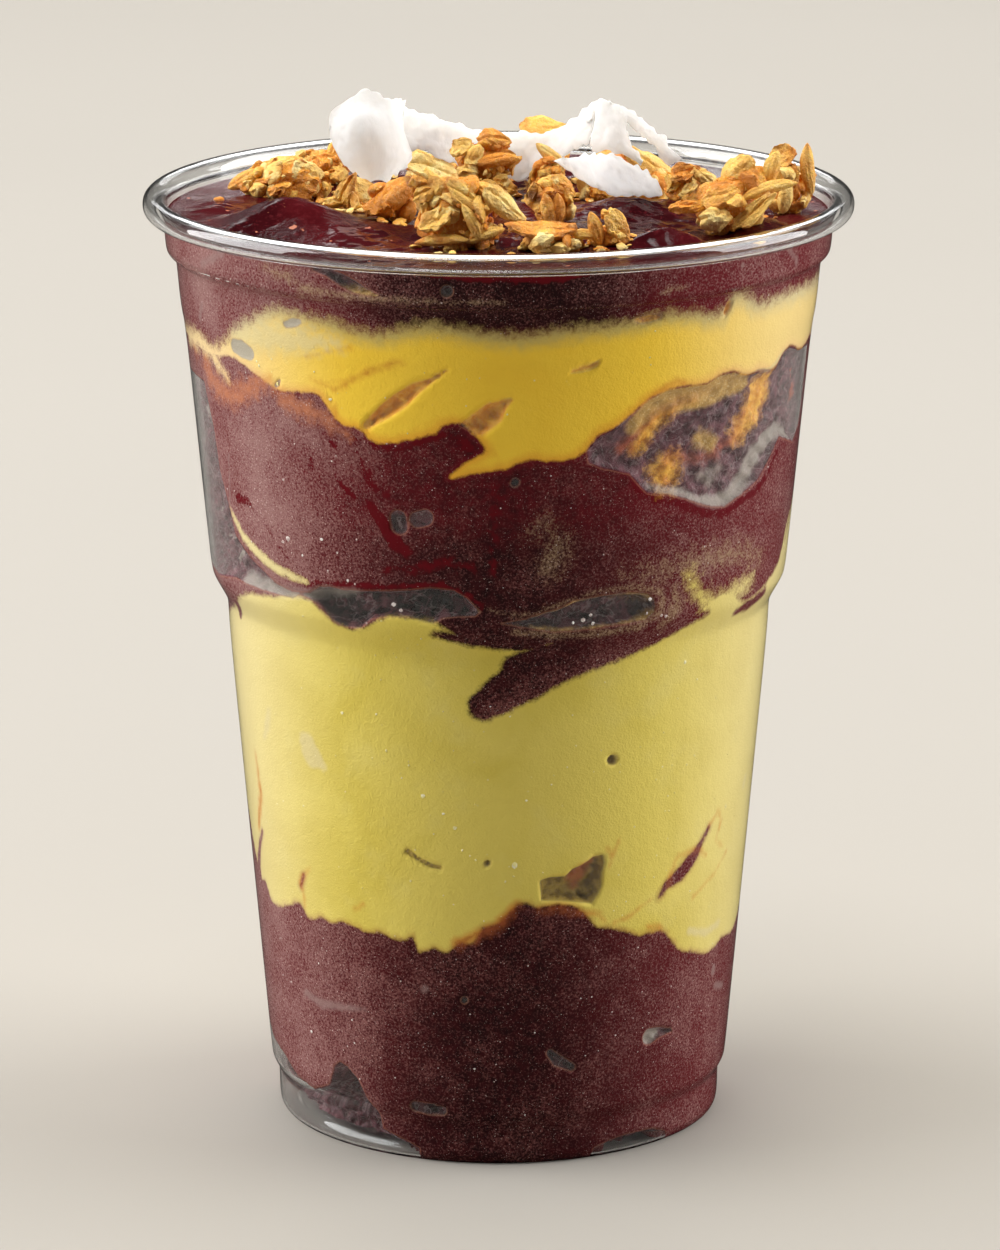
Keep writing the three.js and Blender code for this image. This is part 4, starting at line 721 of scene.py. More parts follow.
class Shader:
    """A material whose nodes are made by calls that return a node's output."""

    def __init__(self, name):
        self.material = bpy.data.materials.new(name)
        self.material.use_nodes = True
        self.nodes = self.material.node_tree.nodes
        self.links = self.material.node_tree.links
        self.surface = self.nodes["Principled BSDF"]
        self.output = self.nodes["Material Output"]
        coordinates = self.nodes.new("ShaderNodeTexCoord")
        self.place = coordinates.outputs["Object"]

    def feed(self, socket, value):
        """Links an output to a socket, or sets it to a value; a tuple of three is an sRGB colour."""
        if isinstance(value, bpy.types.NodeSocket):
            self.links.new(value, socket)
        elif isinstance(value, tuple):
            socket.default_value = srgb(*value)
        else:
            socket.default_value = value

    def math(self, operation, first, second=0.0):
        node = self.nodes.new("ShaderNodeMath")
        node.operation = operation
        self.feed(node.inputs[0], first)
        self.feed(node.inputs[1], second)
        return node.outputs[0]

    def add(self, first, *others):
        for other in others:
            first = self.math("ADD", first, other)
        return first

    def times(self, first, second):
        return self.math("MULTIPLY", first, second)

    def noise(self, scale, detail=2.0, roughness=0.5, distortion=0.0, place=None):
        node = self.nodes.new("ShaderNodeTexNoise")
        self.links.new(place or self.place, node.inputs["Vector"])
        node.inputs["Scale"].default_value = scale
        node.inputs["Detail"].default_value = detail
        node.inputs["Roughness"].default_value = roughness
        node.inputs["Distortion"].default_value = distortion
        return node.outputs["Fac"]

    def stretched(self, x, y, z):
        """The place with each axis scaled."""
        node = self.nodes.new("ShaderNodeMapping")
        self.links.new(self.place, node.inputs["Vector"])
        node.inputs["Scale"].default_value = (x, y, z)
        return node.outputs["Vector"]

    def step(self, value, low, high, first=0.0, last=1.0):
        """A smooth step from first to last as the value goes from low to high."""
        node = self.nodes.new("ShaderNodeMapRange")
        node.interpolation_type = "SMOOTHSTEP"
        self.feed(node.inputs["Value"], value)
        node.inputs["From Min"].default_value = low
        node.inputs["From Max"].default_value = high
        node.inputs["To Min"].default_value = first
        node.inputs["To Max"].default_value = last
        return node.outputs["Result"]

    def mix(self, share, first, second):
        node = self.nodes.new("ShaderNodeMix")
        node.data_type = "RGBA"
        self.feed(node.inputs["Factor"], share)
        self.feed(node.inputs[6], first)
        self.feed(node.inputs[7], second)
        return node.outputs[2]

    def tint(self, first, second, value, low, high, most=1.0):
        """From the first colour to the second, as the value goes from low to high."""
        return self.mix(self.step(value, low, high, 0, most), first, second)

    def attribute(self, name):
        node = self.nodes.new("ShaderNodeAttribute")
        node.attribute_name = name
        return node.outputs["Fac"]

    def ragged(self, name, cell, amount):
        """An attribute whose outlines the cell noise makes ragged."""
        return self.add(self.attribute(name), self.times(cell, amount), -amount / 2)

    def height(self, low, high, first=0.0, last=1.0):
        """A smooth step from first to last as the height goes from low to high."""
        return self.step(self.axis("Z"), low, high, first, last)

    def axis(self, name):
        node = self.nodes.new("ShaderNodeSeparateXYZ")
        self.links.new(self.place, node.inputs[0])
        return node.outputs[name]

    def bump(self, relief, depth, strength=1.0):
        """Bump from a relief of 0 to 1, with its depth in metres."""
        node = self.nodes.new("ShaderNodeBump")
        node.inputs["Strength"].default_value = strength
        node.inputs["Distance"].default_value = depth
        self.links.new(relief, node.inputs["Height"])
        self.links.new(node.outputs["Normal"], self.surface.inputs["Normal"])

    def join(self, share, other):
        """Mixes another shader in over the surface."""
        node = self.nodes.new("ShaderNodeMixShader")
        self.feed(node.inputs[0], share)
        self.links.new(self.surface.outputs[0], node.inputs[1])
        self.links.new(other, node.inputs[2])
        self.links.new(node.outputs[0], self.output.inputs[0])

    def set(self, **values):
        """Sets the shader's sockets, named with _ for a space."""
        for name, value in values.items():
            self.feed(self.surface.inputs[name.replace("_", " ")], value)


# ------------------------------------------------------------------- materials
# Heights in metres between which the green cream's colours give way to the yellow cream's
CREAM_CHANGE = (0.085, 0.092)
# The plastic's faint tint, as a linear colour
CLEAR = [0.9, 0.905, 0.905, 1.0]


def acai_colour(shader, blotch, cell, grain):
    """Dark purple puree under a grain of frost, tan in the hazes; puree and frost are painted lighter
    towards the left and right, most on the left, as painted side light, and a painted shadow darkens the
    puree under the collar's ledge.
    """
    across = shader.axis("X")
    # Painted side light: this mask grows towards the left and right, where the side lamps light the wall
    painted_side_light = shader.step(shader.math("ABSOLUTE", across), 0.003, 0.034)
    high = shader.height(*CREAM_CHANGE)
    haze = shader.step(shader.ragged("haze", cell, 0.9), 0.25, 0.9)
    wet = shader.step(shader.ragged("wet", cell, 1.2), 0.4, 0.8)
    near_cream = shader.add(shader.attribute("cream"), shader.times(cell, 5))
    near_cream = shader.times(shader.step(near_cream, -3, 3), high)
    frost = shader.add(
        # Painted side light: more frost on the left than on the right
        shader.times(painted_side_light, shader.step(across, -0.012, 0.012, 0.76, 0.3)),
        shader.step(blotch, 0.38, 0.64, -0.16, 0.18),
        shader.times(haze, 0.44),
        shader.times(shader.attribute("frost"), 0.55),
        shader.times(near_cream, -0.15),
        shader.times(wet, -0.8),
    )
    puree = shader.tint((36, 5, 8), (56, 9, 13), cell, 0.35, 0.65)
    # Painted side light: the puree is lighter towards the left and right
    puree = shader.mix(painted_side_light, puree, (100, 22, 28))
    puree = shader.mix(near_cream, puree, (104, 18, 28))
    # Painted shadow: the puree darkens just under the collar's ledge, most at the middle of the front and
    # fading towards the left and right
    painted_ledge_shadow = shader.times(shader.height(0.1145, 0.1175, 0, 0.85), shader.step(painted_side_light, 0.15, 0.75, 1, 0))
    puree = shader.mix(painted_ledge_shadow, puree, (22, 6, 6))
    puree = shader.mix(wet, puree, (98, 4, 16))
    # Painted side light: the frost is paler towards the left and right
    frosty = shader.mix(painted_side_light, (138, 84, 80), (152, 112, 108))
    frosty = shader.mix(haze, frosty, (164, 136, 106))
    colour = shader.tint(puree, frosty, shader.add(grain, shader.times(frost, 0.3)), 0.44, 0.88)
    smear = shader.mix(high, (160, 84, 46), (196, 124, 88))
    colour = shader.tint(colour, smear, shader.ragged("stain", cell, 1.1), 0.2, 1.0, 0.85)
    # Sparse pale specks of frost, painted bright as glints
    sparkle = shader.add(shader.noise(5200, 1, 0.5), shader.times(frost, 0.06))
    return shader.tint(colour, (206, 176, 168), sparkle, 0.7, 0.76, 0.8)


def cream_colour(shader, blotch, cell):
    """Green cream low in the cup and yellow cream high, stained where acai has run in, and painted paler
    towards the left and right, most on the left, as painted side sheen.
    """
    swirl = shader.noise(60, 2, 0.5, 1.0)
    edge = shader.attribute("cream")
    near_edge = shader.add(edge, shader.times(cell, 3))
    green = shader.tint((228, 208, 102), (210, 188, 74), swirl, 0.35, 0.7, 0.6)
    green = shader.tint(green, (228, 214, 132), blotch, 0.5, 0.75, 0.3)
    crust = shader.times(shader.step(near_edge, 1, 4, 0.6, 0), shader.height(0.045, 0.05, 1, 0))
    green = shader.mix(crust, green, (168, 112, 52))
    yellow = shader.tint((254, 212, 68), (248, 198, 54), swirl, 0.35, 0.68, 0.45)
    glow = shader.times(shader.step(near_edge, 1, 6, 0.6, 0), shader.height(0.108, 0.112, 1, 0))
    yellow = shader.mix(glow, yellow, (226, 140, 44))
    fringe = shader.step(shader.add(edge, shader.times(cell, -1.2)), -0.6, 1.4, 1, 0)
    yellow = shader.mix(shader.times(fringe, shader.height(0.11, 0.114)), yellow, (196, 174, 104))
    cream = shader.mix(shader.height(*CREAM_CHANGE), green, yellow)
    across = shader.axis("X")
    # Painted side sheen: the cream turns paler towards the left and right, most on the left, where the side
    # lamps fall
    side = shader.step(shader.math("ABSOLUTE", across), 0.018, 0.04, 0, 0.5)
    side = shader.times(side, shader.step(across, -0.01, 0.01, 1.3, 1))
    cream = shader.mix(side, cream, (236, 222, 186))
    stain = shader.ragged("stain", cell, 0.6)
    cream = shader.tint(cream, (206, 120, 44), stain, 0.3, 0.9, 0.65)
    return shader.tint(cream, (150, 66, 30), stain, 0.72, 1.0, 0.6)


def hollow_colour(shader, creamy, cell, grain):
    """The food inside an air pocket: dark and crinkled, with painted light and shade on the crinkles and
    painted glints, milkier where the pocket is shallow.
    """
    milky = shader.attribute("milky")
    stain = shader.ragged("stain", cell, 0.6)
    haze = shader.ragged("haze", cell, 0.5)
    film = shader.tint((196, 154, 78), (226, 196, 132), grain, 0.5, 0.7)
    # Painted light and shade: the dark to pale mottle stands in for shading on the pocket's folds
    dark = shader.tint((8, 2, 4), (92, 52, 58), shader.noise(520, 3, 0.6, 0.5), 0.42, 0.62)
    # Pale flecks of ice, painted bright as glints
    dark = shader.tint(dark, (190, 172, 170), grain, 0.68, 0.78, 0.5)
    dark = shader.mix(milky, dark, shader.tint((72, 22, 38), (136, 90, 100), cell, 0.36, 0.62))
    # Painted glints: thin bright lines along the pocket's folds
    crease = shader.math("ABSOLUTE", shader.add(shader.noise(340, 3, 0.55, 0.4), -0.5))
    dark = shader.mix(shader.step(crease, 0.004, 0.03, 0.25, 0), dark, (186, 166, 166))
    dark = shader.tint(dark, (190, 92, 60), stain, 0.25, 0.9, 0.85)
    dark = shader.tint(dark, film, haze, 0.15, 0.6, 0.95)
    amber = shader.tint((222, 140, 34), (244, 184, 70), cell, 0.35, 0.65)
    olive = shader.tint((112, 84, 22), (168, 140, 56), cell, 0.35, 0.65)
    amber = shader.mix(shader.height(*CREAM_CHANGE), olive, amber)
    amber = shader.tint(amber, (168, 78, 40), stain, 0.25, 0.9, 0.8)
    amber = shader.tint(amber, film, haze, 0.3, 0.8, 0.4)
    amber = shader.tint(amber, (206, 198, 164), milky, 0.5, 0.9)
    return shader.mix(creamy, dark, amber)


def food_material():
    """Puree and creams as pressed against the wall, their edges drawn by the cream attribute."""
    shader = Shader("frozen_food")
    blotch = shader.noise(130, 4, 0.6)
    cell = shader.noise(800, 3, 0.6)
    grain = shader.noise(3400, 2, 0.65)
    edge = shader.add(shader.attribute("cream"), shader.times(cell, 1.8), shader.times(grain, 1.1), -1.45)
    creamy = shader.step(edge, -0.8, 0.8)
    acai = acai_colour(shader, blotch, cell, grain)
    colour = shader.mix(creamy, acai, cream_colour(shader, blotch, cell))
    hollow = shader.ragged("hollow", cell, 0.3)
    inside = shader.step(hollow, -0.05, 0.25, 0, 0.92)
    colour = shader.mix(inside, colour, hollow_colour(shader, creamy, cell, grain))
    open_cream = shader.times(creamy, shader.step(hollow, -0.1, 0.1, 1, 0))
    pale = shader.mix(inside, (150, 120, 116), (174, 166, 154))
    pale = shader.mix(open_cream, pale, (222, 206, 152))
    colour = shader.tint(colour, pale, shader.ragged("pale", cell, 0.5), 0.35, 0.8, 0.75)
    # A thin tan line round each air pocket: partly the pocket's rim, partly a painted highlight where the
    # food meets the wall
    line = shader.times(shader.step(hollow, -0.22, -0.08), shader.step(hollow, -0.04, 0.08, 1, 0))
    line = shader.times(line, shader.step(creamy, 0, 1, 0.28, 0.12))
    colour = shader.mix(line, colour, (176, 120, 92))
    shader.set(Base_Color=colour, Roughness=shader.step(hollow, 0.1, 0.5, 0.55, 0.18))
    shader.set(Specular_IOR_Level=0.07)
    shader.bump(shader.add(shader.times(cell, 0.6), shader.times(grain, 0.4)), 0.0003, 0.6)
    return shader.material


def wet_acai_material():
    """The acai's open top: dark and wet, grainy in places, with a few tan specks."""
    shader = Shader("wet_acai")
    grain = shader.noise(1500, 3, 0.6)
    grainy = shader.step(shader.noise(110, 2, 0.5), 0.48, 0.62)
    colour = shader.tint((42, 5, 9), (68, 11, 16), shader.noise(70, 3, 0.5), 0.38, 0.62)
    colour = shader.tint(colour, (104, 36, 40), grain, 0.5, 0.75, 0.4)
    colour = shader.tint(colour, (190, 120, 92), shader.noise(620, 2, 0.5), 0.7, 0.74, 0.8)
    shader.set(Base_Color=colour, Roughness=shader.step(grainy, 0, 1, 0.08, 0.26), Specular_IOR_Level=0.22)
    shader.bump(shader.times(grain, shader.step(grainy, 0, 1, 0.15, 1)), 0.0004, 0.6)
    return shader.material


def plastic_material():
    """Thin clear plastic that lets lamps and the food's own bounced light straight through."""
    shader = Shader("clear_plastic")
    shader.set(Base_Color=CLEAR, Roughness=0.03, IOR=1.5, Transmission_Weight=1.0)
    shader.set(Specular_IOR_Level=0.5)
    wave = shader.noise(45, 2, 0.5, place=shader.stretched(1, 1, 0.35))
    shader.bump(wave, 0.0006, 0.2)
    clear = shader.nodes.new("ShaderNodeBsdfTransparent")
    path = shader.nodes.new("ShaderNodeLightPath")
    passing = shader.math("MAXIMUM", path.outputs["Is Shadow Ray"], path.outputs["Is Diffuse Ray"])
    shader.join(passing, clear.outputs[0])
    return shader.material


def floor_material():
    """A pale floor that stays out of mirror images, as if the room in front of the cup were dark."""
    shader = Shader("pale_floor")
    pale = shader.mix(shader.noise(3, 2), (156, 151, 143), (160, 155, 147))
    path = shader.nodes.new("ShaderNodeLightPath")
    mirrored = shader.times(path.outputs["Is Glossy Ray"], path.outputs["Is Reflection Ray"])
    shader.set(Base_Color=shader.mix(mirrored, pale, (30, 28, 26)), Roughness=0.8, Specular_IOR_Level=0.1)
    return shader.material


# ------------------------------------------------------------------- the layers
FOOD = food_material()
WET_ACAI = wet_acai_material()
BASE_LINE = 1.2
BASE_EDGE = BASE_TOP - REACH
BASE_ROWS = [(29.4, 0.62), (28.6, 0.35), (27.9, 0.4), (27.2, 1.0), (26.6, BASE_EDGE), (20, BASE_EDGE),
             (10, BASE_EDGE)]
# Depths of a hollow between which the food's lowest edge lifts to the base
LIFT_DEPTHS = (0.2, 1.5)
TOP_RINGS = 64


def base_rings(edge):
    """The acai's underside, which fills the standing ring but for the hollows."""
    nominal = inner_radius(BASE_LINE) + REACH
    shrink = np.hypot(edge[:, 0], edge[:, 1]) / nominal
    lifted = smoothstep(*LIFT_DEPTHS, (1 - shrink) * nominal)
    turn = np.radians(ANGLES)
    rings = []
    for radius, height in BASE_ROWS:
        wide = radius * shrink
        level = height + (BASE_EDGE - height) * lifted
        rings.append(on_circle(wide, turn, level))
    return rings


def surface_relief(x, y, share):
    """Lumps on the acai's top, dying out at the wall, and the broad crest of the front mound."""
    place = Vector((x, y, 0))
    crest = float(swell(x, y, FRONT_CREST))
    lumps = noise.fractal(place * LUMP_SCALE, 0.9, 2.1, 4) * LUMP_RISE
    grains = noise.noise(place * SURFACE_GRAIN_SCALE + Vector((5, 9, 2))) * SURFACE_GRAIN_RISE
    return (lumps + grains + crest) * (1 - share**6)


def top_height(x, y):
    """Height of the finished top at a place."""
    return float(acai_top(x, y)) + surface_relief(x, y, math.hypot(x, y) / COLLAR_RADIUS)


def surface_rings(edge):
    """The acai's top from the wall to the middle."""
    rings = []
    for k in range(1, TOP_RINGS):
        share = 1 - k / TOP_RINGS
        ring = edge * [share, share, 1]
        relief = np.array([surface_relief(x, y, share) for x, y, _ in ring])
        meniscus = MENISCUS * math.exp(-(1 - share) * MENISCUS_FALL)
        ring[:, 2] = acai_top(ring[:, 0], ring[:, 1]) + relief + meniscus
        rings.append(ring)
    return rings


def make_layers():
    edge_depth = hollows(ANGLES, np.full(COLUMNS, BASE_LINE))[0]
    lines = [BASE_LINE + (BASE_EDGE - BASE_LINE) * smoothstep(*LIFT_DEPTHS, edge_depth)]
    lines += [around(line, ANGLES) for line in (GREEN_BOTTOM, GREEN_TOP, YELLOW_BOTTOM, YELLOW_TOP)]
    turn = np.radians(ANGLES)
    lines.append(MENISCUS + acai_top(COLLAR_RADIUS * np.sin(turn), -COLLAR_RADIUS * np.cos(turn)))
    names = ("acai_bottom", "green_cream", "acai_middle", "yellow_cream", "acai_top")
    for name, lower, upper in zip(names, lines, lines[1:]):
        slot = name if "cream" in name else "acai"
        below = base_rings if name == "acai_bottom" else plain_cap
        above = surface_rings if name == "acai_top" else plain_cap
        layer(name, lower, upper, slot, below, above)


def lathe(name, profile, segments):
    """A closed form turned round the cup's axis; the profile's two ends lie on the axis."""
    turn = 2 * np.pi * np.arange(segments) / segments
    rings = [on_circle(radius, turn, height) for radius, height in profile[1:-1]]
    return mesh_object(name, *closed_stack(rings, [0, 0, profile[0][1]], [0, 0, profile[-1][1]]))


def make_cup():
    """The sheet's outer side to the lip, back round inside the roll, and down its inner side."""
    profile = np.vstack([OUTER_LINE, INNER_LINE[::-1]])
    profile[0, 0] = 0
    profile[-1, 0] = 0
    return put_in(lathe("cup", profile, CUP_SEGMENTS), plastic_material(), "clear_plastic", "cup")


# ------------------------------------------------------- many pieces as one
SHARP_DEGREES = 38


def unit_ball(subdivisions):
    ball = bmesh.new()
    bmesh.ops.create_icosphere(ball, subdivisions=subdivisions, radius=1)
    points = np.array([vert.co[:] for vert in ball.verts])
    faces = np.array([[vert.index for vert in face.verts] for face in ball.faces])
    ball.free()
    return points, faces


BALLS = {detail: unit_ball(detail) for detail in (1, 2, 3, 4)}


def rough(points, scale, seed):
    """Noise from about -1 to 1 at each point."""
    shift = Vector((7.3 * seed % 97, 3.1 * seed % 89, 5.7 * seed % 83))
    return np.array([noise.noise(Vector(point) * scale + shift) for point in points.tolist()])


class Heap:
    """Many small pieces joined into one mesh, with colour values at their points."""

    def __init__(self, seed):
        self.random = random.Random(seed)
        self.parts = []
        self.count = 0

    def add(self, shape, faces, turn, place, tone, edge):
        points = shape @ np.array(turn).T + np.array(place)
        self.parts.append((points, faces + self.count, np.full(len(points), tone), edge))
        self.count += len(points)

    def object(self, name):
        points, faces, tones, edges = (np.concatenate(column) for column in zip(*self.parts))
        obj = mesh_object(name, points, faces.tolist())
        set_attribute(obj.data, "tone", tones)
        set_attribute(obj.data, "edge", edges)
        obj.data.set_sharp_from_angle(angle=math.radians(SHARP_DEGREES))
        return obj


# -------------------------------------------------------------- frost grains
# The larger grains and drops that show in front, each (angle, height, radius)
GRAINS = [
    (-48.5, 109.3, 0.18), (-48, 108.8, 0.24), (-43.5, 106.8, 0.3), (-31.5, 105.9, 0.24), (-31, 98.3, 0.18),
    (-44, 93.8, 0.18), (-44, 85.8, 0.36), (-45.5, 85.2, 0.24), (-35.5, 86.6, 0.24), (-40.5, 83.9, 0.18),
    (-34.5, 82.4, 0.18), (-30, 81.5, 0.24), (-28.5, 81.1, 0.18), (-32, 85.1, 0.18), (-20.5, 78.9, 0.3),
    (-19, 78.2, 0.24), (-26.5, 75.9, 0.18), (14.5, 76.7, 0.24), (16.5, 77, 0.3), (18, 77.6, 0.24),
    (18.5, 76.4, 0.24), (30.5, 78.9, 0.24), (30, 77, 0.24), (33.5, 76.4, 0.24), (42.5, 68.7, 0.3),
    (34.5, 76.2, 0.24), (-16.5, 52.3, 0.36), (-9.5, 48.1, 0.3), (3.5, 43, 0.54), (-26.5, 63, 0.18),
    (-35, 62.5, 0.24), (-19.5, 56.4, 0.18), (-5, 43.7, 0.18), (1.5, 40.7, 0.18), (-48.5, 48, 0.18),
    (-20, 40.2, 0.18), (-24.5, 58.1, 0.18), (62, 46, 0.18), (-47.5, 25.8, 0.18), (-60, 21.4, 0.18),
    (-52.5, 15.4, 0.24), (-8, 45, 0.18), (-12, 50, 0.18), (6, 52, 0.18),
]
FINE_GRAINS = 1500
FINE_SEED = 4
GRAIN_HEIGHTS = (6, 121)
# Square roots of the fine grains' radii, so that most of them are small
ROOT_RADII = (0.2, 0.36)
GRAIN_DEPTH = 0.1
GRAIN_WIDTHS = (0.7, 1.3)
CLEAR_OF_AIR = 0.2


def make_grains():
    """Frost grains and drops between the food and the wall: the larger ones, and fine ones all round."""
    draw = np.random.default_rng(FINE_SEED)
    fine = [draw.uniform(ANGLES[0], ANGLES[0] + 360, FINE_GRAINS), draw.uniform(*GRAIN_HEIGHTS, FINE_GRAINS)]
    fine.append(draw.uniform(*ROOT_RADII, FINE_GRAINS) ** 2)
    places = np.vstack([GRAINS, np.stack(fine, 1)])
    air = hollows(places[:, 0], places[:, 1])[1]
    creamy = cream_field(places[:, 0], places[:, 1]) > 0
    heap = Heap("grains")
    ball, faces = BALLS[1]
    for number, (angle, height, radius) in enumerate(places):
        if air[number] > -CLEAR_OF_AIR and number >= len(GRAINS):
            continue
        lumpy = ball * (1 + 0.4 * rough(ball, 1.7, number))[:, None]
        shape = lumpy * [radius * heap.random.uniform(*GRAIN_WIDTHS), GRAIN_DEPTH, radius]
        turn = Matrix.Rotation(math.radians(angle), 3, "Z")
        out = float(inner_radius(height)) + REACH
        place = turn @ Vector((0, -out, height))
        heap.add(shape, faces, turn, place, float(creamy[number]), np.zeros(len(ball)))
    put_in(heap.object("frost_grains"), grain_material(), "acai")


def grain_material():
    """Icy white grains, yellowish on the creams and rosy on the acai."""
    shader = Shader("frost_grain")
    cloud = shader.noise(2400, 2)
    rosy = shader.tint((190, 166, 160), (238, 230, 224), cloud, 0.35, 0.65)
    yellowish = shader.tint((232, 222, 150), (246, 240, 206), cloud, 0.35, 0.65)
    shader.set(Base_Color=shader.mix(shader.attribute("tone"), rosy, yellowish), Roughness=0.22)
    return shader.material


# ------------------------------------------------------------------- granola
# As the CAD plans it: a core [right, back, up, half x, half y, half z] and pieces
# [kind, right, back, up, length, width, rise, face] about a place on the acai
OAT = "oat"
SEED = "seed"
CRUMB = "crumb"
OAT_THICKNESS = 1.2
SMALL_OAT_THICKNESS = 0.9
ROUNDNESS = {SEED: 0.8, CRUMB: 0.9}
CORE_SHARE = 0.92
# The core is browner than its pieces: partly honey binder, partly painted shade where the pieces cover it
CORE_TONE = 0.8
# What covers a core: kinds, number for its size, lengths and detail
COVERS = [((OAT, OAT, SEED, CRUMB), 0.6, (2.2, 3.8), 3), ((CRUMB,), 1.6, (0.6, 1.5), 2)]
